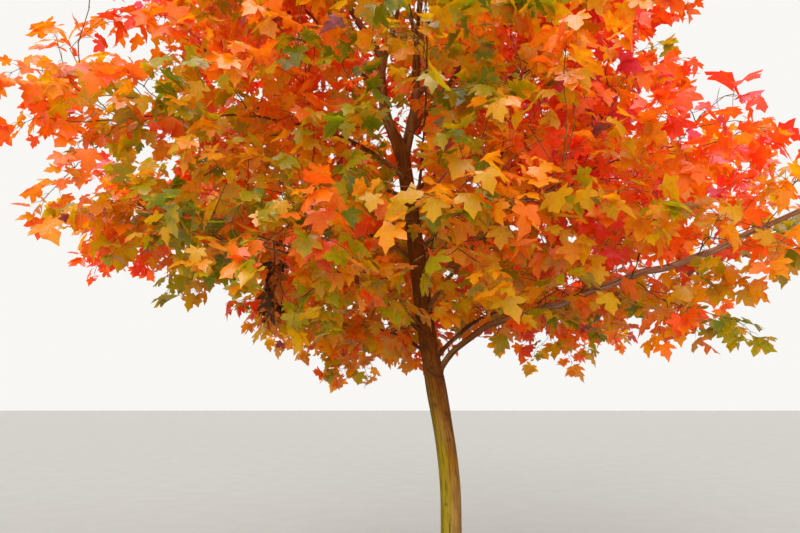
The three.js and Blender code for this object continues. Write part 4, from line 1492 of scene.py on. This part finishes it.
# Ranges: a stretch of a pattern, a height or a place, and what that becomes, from 0 to 1 if not given
GRAIN_RANGE = (0.3, 0.7)
FISSURE_LINE = (0, 0.035, 1, 0)
FISSURE_CLOUDS = (0.42, 0.6)
PORE_EDGE = (0.08, 0.2, 1, 0)
BROWN_HEIGHT = (1.05, 1.8)
TRUNK_GREY = (0.44, 0.64, 0, 0.6)
GREY_ABOVE = (0, 1, 1, 0.2)
GREY_FOOT = (1.1, 0.5, 0, 0.7)
BOUGH_GREY = (0.4, 0.66, 0.05, 0.7)
WEATHERED_PART = (0.45, 1.3)
WEATHERED_GREY = (0.35, 0.62, 0, 0.6)
DARK_STREAKS = (0.45, 0.72, 0, 0.5)
FILM_SIDE = (0.03, -0.045)
FILM_HEIGHT = (1.75, 0.85)
FILM_CLOUDS = (0.3, 0.58, 0.35, 0.95)
SMUDGE_EDGE = (0.53, 0.64, 0, 0.6)
SMUDGE_HEIGHT = (1, 1.6)
TWIG_GREY = (0.4, 0.7, 0, 0.6)
VEIN_EDGE = (0.03, 0.2, 1, 0)
BLOTCH_EDGE = (0.55, 0.74, 0, 0.9)
SPOT_EDGE = (0.52, 0.7, 0, 0.3)
WITHERED_EDGE = (0.5, 0.66)

# How much of one thing goes into another
TRUNK_RAGGED = 0.5  # clouds into the height where the trunk turns brown
WEATHERED_RAGGED = 0.4
PORE_SHARE = 0.35
# of the cracks, and of the painted shade in the trunk's crease
CRACK_AND_SHADE_SHARE = 0.85
FISSURE_SHARE = 0.55
BARK_HEIGHTS = (0.8, 0.7, 0.6, 0.3)  # of the streaks, the grain, the fissures and the pores
VEIN_DEPTH = 0.8
MARGIN_SHARE = 0.16
VEIN_GLOW = (0.4, 1.5)  # of the vein's light, and times as bright
SPOT_DARK = 3

# Finishes: from the least rough to the roughest, the shine, and how far the pattern stands out
BARK_ROUGH = (0.7, 0.92)
BARK_SPECULAR = 0.12
BARK_BUMP = 0.0018
TWIG_ROUGH = (0.55, 0.8)
TWIG_SPECULAR = 0.3
TWIG_BUMP = 0.0006
LEAF_ROUGH_PLAY = 0.1
LEAF_SPECULAR = 0.85
LEAF_BUMP = 0.0012
LEAF_BUMP_STRENGTH = 0.7
WITHERED_ROUGH = (0.55, 0.85)
WITHERED_BUMP = 0.003
STALK_ROUGH = (0.4, 0.6)
STALK_BUMP = 0.0003
FLOOR_ROUGH = (0.8, 0.95)
FLOOR_SPECULAR = 0.1


# Materials
def linear(code):
    """The colour of a six-digit code, as light"""
    parts = [int(code[k : k + 2], 16) / 255 for k in (0, 2, 4)]
    return tuple(p / 12.92 if p <= 0.04045 else ((p + 0.055) / 1.055) ** 2.4 for p in parts)


class Nodes:
    """The nodes of one material, whose inputs are values or other nodes' outputs"""

    def __init__(self, name):
        self.material = bpy.data.materials.new(name)
        self.material.use_nodes = True
        self.tree = self.material.node_tree
        self.tree.nodes.clear()

    def add(self, kind, inputs, **settings):
        node = self.tree.nodes.new(kind)
        for name, value in settings.items():
            setattr(node, name, value)
        for socket, value in inputs.items():
            if isinstance(value, bpy.types.NodeSocket):
                self.tree.links.new(value, node.inputs[socket])
            else:
                node.inputs[socket].default_value = value
        return node

    def place(self):
        return self.add("ShaderNodeTexCoord", {}).outputs["Object"]

    def attribute(self, name, output="Fac"):
        return self.add("ShaderNodeAttribute", {}, attribute_name=name).outputs[output]

    def scaled(self, vector, scale):
        return self.add("ShaderNodeMapping", {"Vector": vector, "Scale": scale}).outputs[0]

    def noise(self, vector, scale, detail, roughness=0.55):
        vector = self.scaled(vector, scale)
        inputs = {"Vector": vector, "Scale": 1, "Detail": detail, "Roughness": roughness}
        return self.add("ShaderNodeTexNoise", inputs).outputs[0]

    def ranged(self, value, low, high, to_low=0, to_high=1):
        inputs = {0: value, 1: low, 2: high, 3: to_low, 4: to_high}
        return self.add("ShaderNodeMapRange", inputs, interpolation_type="SMOOTHSTEP").outputs[0]

    def math(self, operation, value, *others):
        """The values' sum, product and so on, from left to right"""
        for other in others:
            value = self.add("ShaderNodeMath", {0: value, 1: other}, operation=operation).outputs[0]
        return value

    def mixed(self, factor, *colours):
        """Two colours, or outputs, mixed by a factor"""
        a, b = (c if isinstance(c, bpy.types.NodeSocket) else (*c, 1) for c in colours)
        return self.add("ShaderNodeMix", {0: factor, 6: a, 7: b}, data_type="RGBA").outputs[2]

    def bump(self, height, distance, strength=1):
        inputs = {"Height": height, "Distance": distance, "Strength": strength}
        return self.add("ShaderNodeBump", inputs).outputs[0]

    def surface(self, colour, grain, rough, specular=0.5, **more):
        """Its colour, its roughness from and to by the grain, and its shine"""
        inputs = {
            "Base Color": colour if isinstance(colour, bpy.types.NodeSocket) else (*colour, 1),
            "Roughness": self.ranged(grain, *GRAIN_RANGE, *rough),
            "Specular IOR Level": specular,
            **more,
        }
        return self.add("ShaderNodeBsdfPrincipled", inputs).outputs[0]

    def finished(self, shader):
        self.add("ShaderNodeOutputMaterial", {"Surface": shader})
        return self.material


def bark_material(name, settings, kind):
    """Bark: smooth, with long fine fissures, grey patches and small pale pores; the trunk is golden
    low down, brown above, and green on its left side near the ground"""
    nodes = Nodes(name)
    place, crack = nodes.attribute("bark", "Vector"), nodes.attribute("crack")
    patches, clouds, streaks, grain = (
        nodes.noise(place, *pattern) for pattern in (PATCHES, CLOUDS, STREAKS, GRAIN)
    )
    line = nodes.ranged(nodes.math("ABSOLUTE", nodes.math("SUBTRACT", streaks, 0.5), 0), *FISSURE_LINE)
    fissure = nodes.math("MULTIPLY", line, nodes.ranged(clouds, *FISSURE_CLOUDS))
    pores = nodes.add("ShaderNodeTexVoronoi", {"Vector": nodes.scaled(place, PORES), "Scale": 1})
    pore = nodes.ranged(pores.outputs["Distance"], *PORE_EDGE)
    if kind != "bough":
        side, _, distance = nodes.add("ShaderNodeSeparateXYZ", {0: place}).outputs
    if kind == "trunk":
        ragged = nodes.math("ADD", distance, nodes.math("MULTIPLY", clouds, TRUNK_RAGGED))
        high = nodes.ranged(ragged, *BROWN_HEIGHT)
        colour = nodes.mixed(high, settings.golden_bark, settings.brown_bark)
        grey = nodes.ranged(patches, *TRUNK_GREY)
        grey = nodes.math("MULTIPLY", grey, nodes.ranged(high, *GREY_ABOVE))
        grey = nodes.math("MAXIMUM", grey, nodes.ranged(distance, *GREY_FOOT))
    elif kind == "bough":
        colour, grey = settings.brown_bark, nodes.ranged(patches, *BOUGH_GREY)
    else:
        ragged = nodes.math("ADD", distance, nodes.math("MULTIPLY", clouds, WEATHERED_RAGGED))
        far = nodes.ranged(ragged, *WEATHERED_PART)
        colour = nodes.mixed(far, settings.brown_bark, settings.weathered_bark)
        grey = nodes.ranged(patches, *WEATHERED_GREY)
    colour = nodes.mixed(grey, colour, settings.grey_bark)
    colour = nodes.mixed(nodes.ranged(streaks, *DARK_STREAKS), colour, settings.dark_bark)
    if kind == "trunk":
        film = nodes.math(
            "MULTIPLY", nodes.ranged(side, *FILM_SIDE), nodes.ranged(distance, *FILM_HEIGHT),
            nodes.ranged(clouds, *FILM_CLOUDS),
        )
        colour = nodes.mixed(film, colour, settings.green_film)
    colour = nodes.mixed(nodes.math("MULTIPLY", pore, PORE_SHARE), colour, settings.pore_bark)
    # the crack attribute also brings in the painted shade of the trunk's crease
    cracks = nodes.math("MULTIPLY", crack, CRACK_AND_SHADE_SHARE), nodes.math("MULTIPLY", fissure, FISSURE_SHARE)
    darkness = nodes.math("MAXIMUM", *cracks)
    if kind == "trunk":
        smudge = nodes.ranged(nodes.noise(place, *SMUDGES), *SMUDGE_EDGE)
        smudge = nodes.math("MULTIPLY", smudge, nodes.ranged(distance, *SMUDGE_HEIGHT))
        darkness = nodes.math("MAXIMUM", darkness, smudge)
    colour = nodes.mixed(darkness, colour, settings.crack_bark)
    raised, grained, sunk, pored = (
        nodes.math("MULTIPLY", pattern, share)
        for pattern, share in zip((streaks, grain, fissure, pore), BARK_HEIGHTS)
    )
    height = nodes.math("SUBTRACT", nodes.math("ADD", raised, grained), sunk)
    normal = nodes.bump(nodes.math("ADD", height, pored), BARK_BUMP)
    return nodes.finished(nodes.surface(colour, grain, BARK_ROUGH, BARK_SPECULAR, Normal=normal))


def twig_material(name, settings):
    """Bark of the twigs: plain brown with fine grain and greyer patches"""
    nodes = Nodes(name)
    place = nodes.place()
    patches, grain = (nodes.noise(place, *pattern) for pattern in (TWIG_PATCHES, TWIG_GRAIN))
    colour = nodes.mixed(nodes.ranged(patches, *TWIG_GREY), settings.twig_bark, settings.grey_bark)
    normal = nodes.bump(grain, TWIG_BUMP)
    return nodes.finished(nodes.surface(colour, grain, TWIG_ROUGH, TWIG_SPECULAR, Normal=normal))


def leaf_material(name, colour, further, settings):
    """A leaf: a soft shine on the blade, sunk veins, and light that comes through it in blotches, most
    of them near the margin and in the tint that the leaf turns to next"""
    nodes = Nodes(name)
    place, margin = nodes.place(), nodes.attribute("margin")
    grain, blotches, spots = (
        nodes.noise(place, *pattern) for pattern in (LEAF_GRAIN, LEAF_BLOTCHES, LEAF_SPOTS)
    )
    vein = nodes.ranged(margin, *VEIN_EDGE)
    height = nodes.math("SUBTRACT", grain, nodes.math("MULTIPLY", vein, VEIN_DEPTH))
    normal = nodes.bump(height, LEAF_BUMP, LEAF_BUMP_STRENGTH)
    rough = [settings.blade_roughness + hand * LEAF_ROUGH_PLAY for hand in (-1, 1)]
    shine = {"Specular Tint": (*settings.sheen, 1), "Normal": normal}
    blade = nodes.surface(colour, grain, rough, LEAF_SPECULAR, **shine)
    glow, further_glow = (tuple(min(1, part * settings.glow) for part in c) for c in (colour, further))
    outer = nodes.math("ADD", nodes.math("MULTIPLY", margin, MARGIN_SHARE), blotches)
    light = nodes.mixed(nodes.ranged(outer, *BLOTCH_EDGE), glow, further_glow)
    share, brighter = VEIN_GLOW
    vein_light = tuple(min(1, brighter * part) for part in glow)
    light = nodes.mixed(nodes.math("MULTIPLY", vein, share), light, vein_light)
    dark = tuple(part / SPOT_DARK for part in colour)
    light = nodes.mixed(nodes.ranged(spots, *SPOT_EDGE), light, dark)
    through = nodes.add("ShaderNodeBsdfTranslucent", {"Color": light, "Normal": normal}).outputs[0]
    inputs = {0: settings.see_through, 1: blade, 2: through}
    return nodes.finished(nodes.add("ShaderNodeMixShader", inputs).outputs[0])


def withered_material(name, main, blotch):
    """A dead leaf: rust and dark brown in blotches, dull and crumpled"""
    nodes = Nodes(name)
    place = nodes.place()
    blotches, grain = (nodes.noise(place, *pattern) for pattern in (WITHERED_BLOTCHES, WITHERED_GRAIN))
    colour = nodes.mixed(nodes.ranged(blotches, *WITHERED_EDGE), main, blotch)
    normal = nodes.bump(grain, WITHERED_BUMP)
    return nodes.finished(nodes.surface(colour, grain, WITHERED_ROUGH, Normal=normal))


def stalk_material(name, colour):
    nodes = Nodes(name)
    grain = nodes.noise(nodes.place(), *STALK_GRAIN)
    normal = nodes.bump(grain, STALK_BUMP)
    return nodes.finished(nodes.surface(colour, grain, STALK_ROUGH, Normal=normal))


def floor_material(name, colour):
    nodes = Nodes(name)
    grain = nodes.noise(nodes.place(), *FLOOR_GRAIN)
    return nodes.finished(nodes.surface(colour, grain, FLOOR_ROUGH, FLOOR_SPECULAR))


# The stage
CAMERA_PLACE = (-0.32, -4.8, 1.5)
CAMERA_RISE = 9.2
CAMERA_SENSOR = 36
LIGHTS = (  # heading and rise of each light's place, how wide it is, share of the strength
    ("key_light", (-122, 42), 40, 0.3),
    ("fill_light", (-35, 30), 40, 0.2),
    ("low_light", (-98, 4), 60, 1.75),
    ("back_light", (75, 50), 40, 0.58),
    ("top_light", (0, 86), 90, 0.55),
    ("sheen_light", (-90, 74), 60, 1.6),
)
LIGHT_DISTANCE = 10
SHINING_LIGHTS = ("top_light", "sheen_light")  # the ones that the leaves' shine reflects
FLOOR_CUTS = 12


def build_stage(settings):
    bpy.ops.object.select_all(action="DESELECT")
    bpy.ops.mesh.primitive_grid_add(
        x_subdivisions=FLOOR_CUTS, y_subdivisions=FLOOR_CUTS, size=settings.floor_size
    )
    floor = bpy.context.object
    floor.name = floor.data.name = "floor"
    floor.data.materials.append(floor_material("floor", settings.floor_colour))
    floor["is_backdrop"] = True
    for name, (heading, rise), width, share in LIGHTS:
        place = direction(heading, rise) * LIGHT_DISTANCE
        turn = Vector(-place).to_track_quat("-Z", "Y").to_euler()
        bpy.ops.object.light_add(type="SUN", location=place, rotation=turn)
        light = bpy.context.object
        light.name = name
        light.data.angle = math.radians(width)
        light.data.energy = settings.light_strength * share
        light.visible_glossy = name in SHINING_LIGHTS
        light.visible_diffuse = light.visible_transmission = name != "sheen_light"
    world = bpy.data.worlds.new("soft_light")
    world.use_nodes = True
    background = world.node_tree.nodes["Background"]
    background.inputs["Color"].default_value = (*settings.sky_colour, 1)
    background.inputs["Strength"].default_value = settings.sky_strength
    bpy.context.scene.world = world
    bpy.ops.object.camera_add(
        location=CAMERA_PLACE, rotation=(math.radians(90 + CAMERA_RISE), 0, 0)
    )
    camera = bpy.context.object
    camera.name = "camera"
    camera.data.sensor_width = CAMERA_SENSOR
    camera.data.lens = settings.lens
    camera.data.dof.use_dof = False
    bpy.context.scene.camera = camera
    bpy.context.scene.view_settings.view_transform = "Standard"


# Settings that a user would change
def colour_setting(name, description, code):
    return bpy.props.FloatVectorProperty(
        name=name, description=description, subtype="COLOR", size=3, min=0, max=1, default=linear(code)
    )


def size_setting(name, description, default):
    return bpy.props.FloatProperty(
        name=name, description=description, default=default, min=0, unit="LENGTH", precision=4
    )


def share_setting(name, description, default, high=1):
    return bpy.props.FloatProperty(
        name=name, description=description, default=default, min=0, max=high, subtype="FACTOR"
    )


class MAPLE_PG_bark(bpy.types.PropertyGroup):
    """Sizes and colours of the bark"""

    relief: size_setting("Relief", "How far the ribs of the trunk's bark stand out", 0.0015)
    fissure_depth: size_setting("Fissures", "How deep the fissures of the trunk's bark are", 0.0011)
    golden_bark: colour_setting("Golden bark", "Colour of the trunk's lower part", "7a5210")
    brown_bark: colour_setting("Brown bark", "Colour of the upper trunk and the boughs", "643002")
    grey_bark: colour_setting("Grey bark", "Colour of the weathered patches", "84663c")
    weathered_bark: colour_setting("Weathered bark", "Colour of the stout low bough", "b08a70")
    dark_bark: colour_setting("Dark bark", "Colour of the streaks", "4c2a08")
    # this colour also paints the shade in the crease under the low bough
    crack_bark: colour_setting("Cracks", "Colour in the fissures and scars", "2c1a0a")
    pore_bark: colour_setting("Pores", "Colour of the small pores", "b0925c")
    green_film: colour_setting("Green film", "Colour of the trunk's left side near the ground", "7a6e06")
    twig_bark: colour_setting("Twigs", "Main colour of twigs and shoots", "54300e")


class MAPLE_PG_leaves(bpy.types.PropertyGroup):
    """Sizes and tints of the leaves"""

    blade_length: size_setting("Blade length", "From the stalk to the tip of a full-grown blade", 0.113)
    stalk_length: size_setting("Stalk length", "Length of a full-grown leaf's stalk", 0.085)
    blade_roughness: share_setting("Roughness", "Roughness of the blades", 0.33)
    see_through: share_setting("Light through", "Share of the light that comes through a blade", 0.55)
    glow: share_setting("Glow", "How much brighter that light is than the blade's tint", 1.7, 2)
    sheen: colour_setting("Sheen", "Tint of the soft shine on the blades", "d8ccf0")
    stalk_red: colour_setting("Red stalks", "Colour of the turned leaves' stalks", "8a2a18")
    withered: colour_setting("Withered leaves", "Main colour of the dead leaves", "a8540c")
    withered_dark: colour_setting("Withered, dark", "Dark blotches of the dead leaves", "3c240a")
    stalk_yellow: colour_setting("Yellow stalks", "Colour of the green and golden leaves' stalks", "a07a20")
    for _tint in TINTS:
        __annotations__[_tint.key] = colour_setting(
            _tint.name, f"Tint of the {_tint.name.lower()} leaves", _tint.code
        )


class MAPLE_PG_stage(bpy.types.PropertyGroup):
    """Floor, light and camera"""

    floor_size: size_setting("Floor size", "Side of the floor", 80)
    floor_colour: colour_setting("Floor colour", "Colour of the floor", "84827e")
    sky_colour: colour_setting("Surround", "Colour of the light from all round", "f2f1ee")
    sky_strength: share_setting("Surround strength", "Strength of the light from all round", 1.06, 4)
    light_strength: share_setting("Lights", "Strength of the main light", 3.6, 10)
    lens: bpy.props.FloatProperty(
        name="Lens", description="Focal length in millimetres", default=33, min=10, max=300
    )


# Operators
class MAPLE_OT_trunk(bpy.types.Operator):
    """Make the trunk, with its root flare, fissures and scars"""

    bl_idname = "maple.trunk"
    bl_label = "Trunk"

    def execute(self, context):
        build_trunk(context.scene.maple_bark)
        return {"FINISHED"}


class MAPLE_OT_boughs(bpy.types.Operator):
    """Make the two stems and the boughs"""

    bl_idname = "maple.boughs"
    bl_label = "Stems and boughs"

    def execute(self, context):
        build_limbs(context.scene.maple_bark)
        return {"FINISHED"}


class MAPLE_OT_twigs(bpy.types.Operator):
    """Make the twigs that grow on from the boughs"""

    bl_idname = "maple.twigs"
    bl_label = "Twigs"

    def execute(self, context):
        build_twigs(context.scene.maple_bark)
        return {"FINISHED"}


class MAPLE_OT_leaves(bpy.types.Operator):
    """Make the shoots, and the leaves on them, one piece for each tint, with their stalks"""

    bl_idname = "maple.leaves"
    bl_label = "Leaves"

    def execute(self, context):
        build_leaves(context.scene.maple_leaves, context.scene.maple_bark)
        return {"FINISHED"}


class MAPLE_OT_clump(bpy.types.Operator):
    """Make the clump of withered leaves on its hanging twig, and the dead stub"""

    bl_idname = "maple.clump"
    bl_label = "Withered clump"

    def execute(self, context):
        build_clump(context.scene.maple_leaves)
        build_stub(context.scene.maple_bark)
        return {"FINISHED"}


class MAPLE_OT_stage(bpy.types.Operator):
    """Make the floor, the lights and the camera"""

    bl_idname = "maple.stage"
    bl_label = "Stage"

    def execute(self, context):
        build_stage(context.scene.maple_stage)
        return {"FINISHED"}


class MAPLE_PT_panel(bpy.types.Panel):
    """The maple's pieces and settings"""

    bl_label = "Maple"
    bl_idname = "MAPLE_PT_panel"
    bl_space_type = "VIEW_3D"
    bl_region_type = "UI"
    bl_category = "Maple"

    def draw(self, context):
        for operator in OPERATORS:
            self.layout.operator(operator.bl_idname)
        for name, group in SETTINGS.items():
            box = self.layout.box()
            for key in group.__annotations__:
                box.prop(getattr(context.scene, name), key)


SETTINGS = {
    "maple_bark": MAPLE_PG_bark,
    "maple_leaves": MAPLE_PG_leaves,
    "maple_stage": MAPLE_PG_stage,
}
OPERATORS = (
    MAPLE_OT_trunk, MAPLE_OT_boughs, MAPLE_OT_twigs, MAPLE_OT_leaves, MAPLE_OT_clump, MAPLE_OT_stage,
)


def register():
    for cls in (*SETTINGS.values(), *OPERATORS, MAPLE_PT_panel):
        bpy.utils.register_class(cls)
    for name, group in SETTINGS.items():
        setattr(bpy.types.Scene, name, bpy.props.PointerProperty(type=group))


def unregister():
    for name in SETTINGS:
        delattr(bpy.types.Scene, name)
    for cls in reversed((*SETTINGS.values(), *OPERATORS, MAPLE_PT_panel)):
        bpy.utils.unregister_class(cls)


def main():
    register()
    bpy.ops.maple.trunk()
    bpy.ops.maple.boughs()
    bpy.ops.maple.twigs()
    bpy.ops.maple.leaves()
    bpy.ops.maple.clump()
    bpy.ops.maple.stage()
    boxes = {"cad": cad_box, "visual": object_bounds()}
    sizes = {name: [list(corner) for corner in box] for name, box in boxes.items()}


if __name__ == "__main__":
    main()
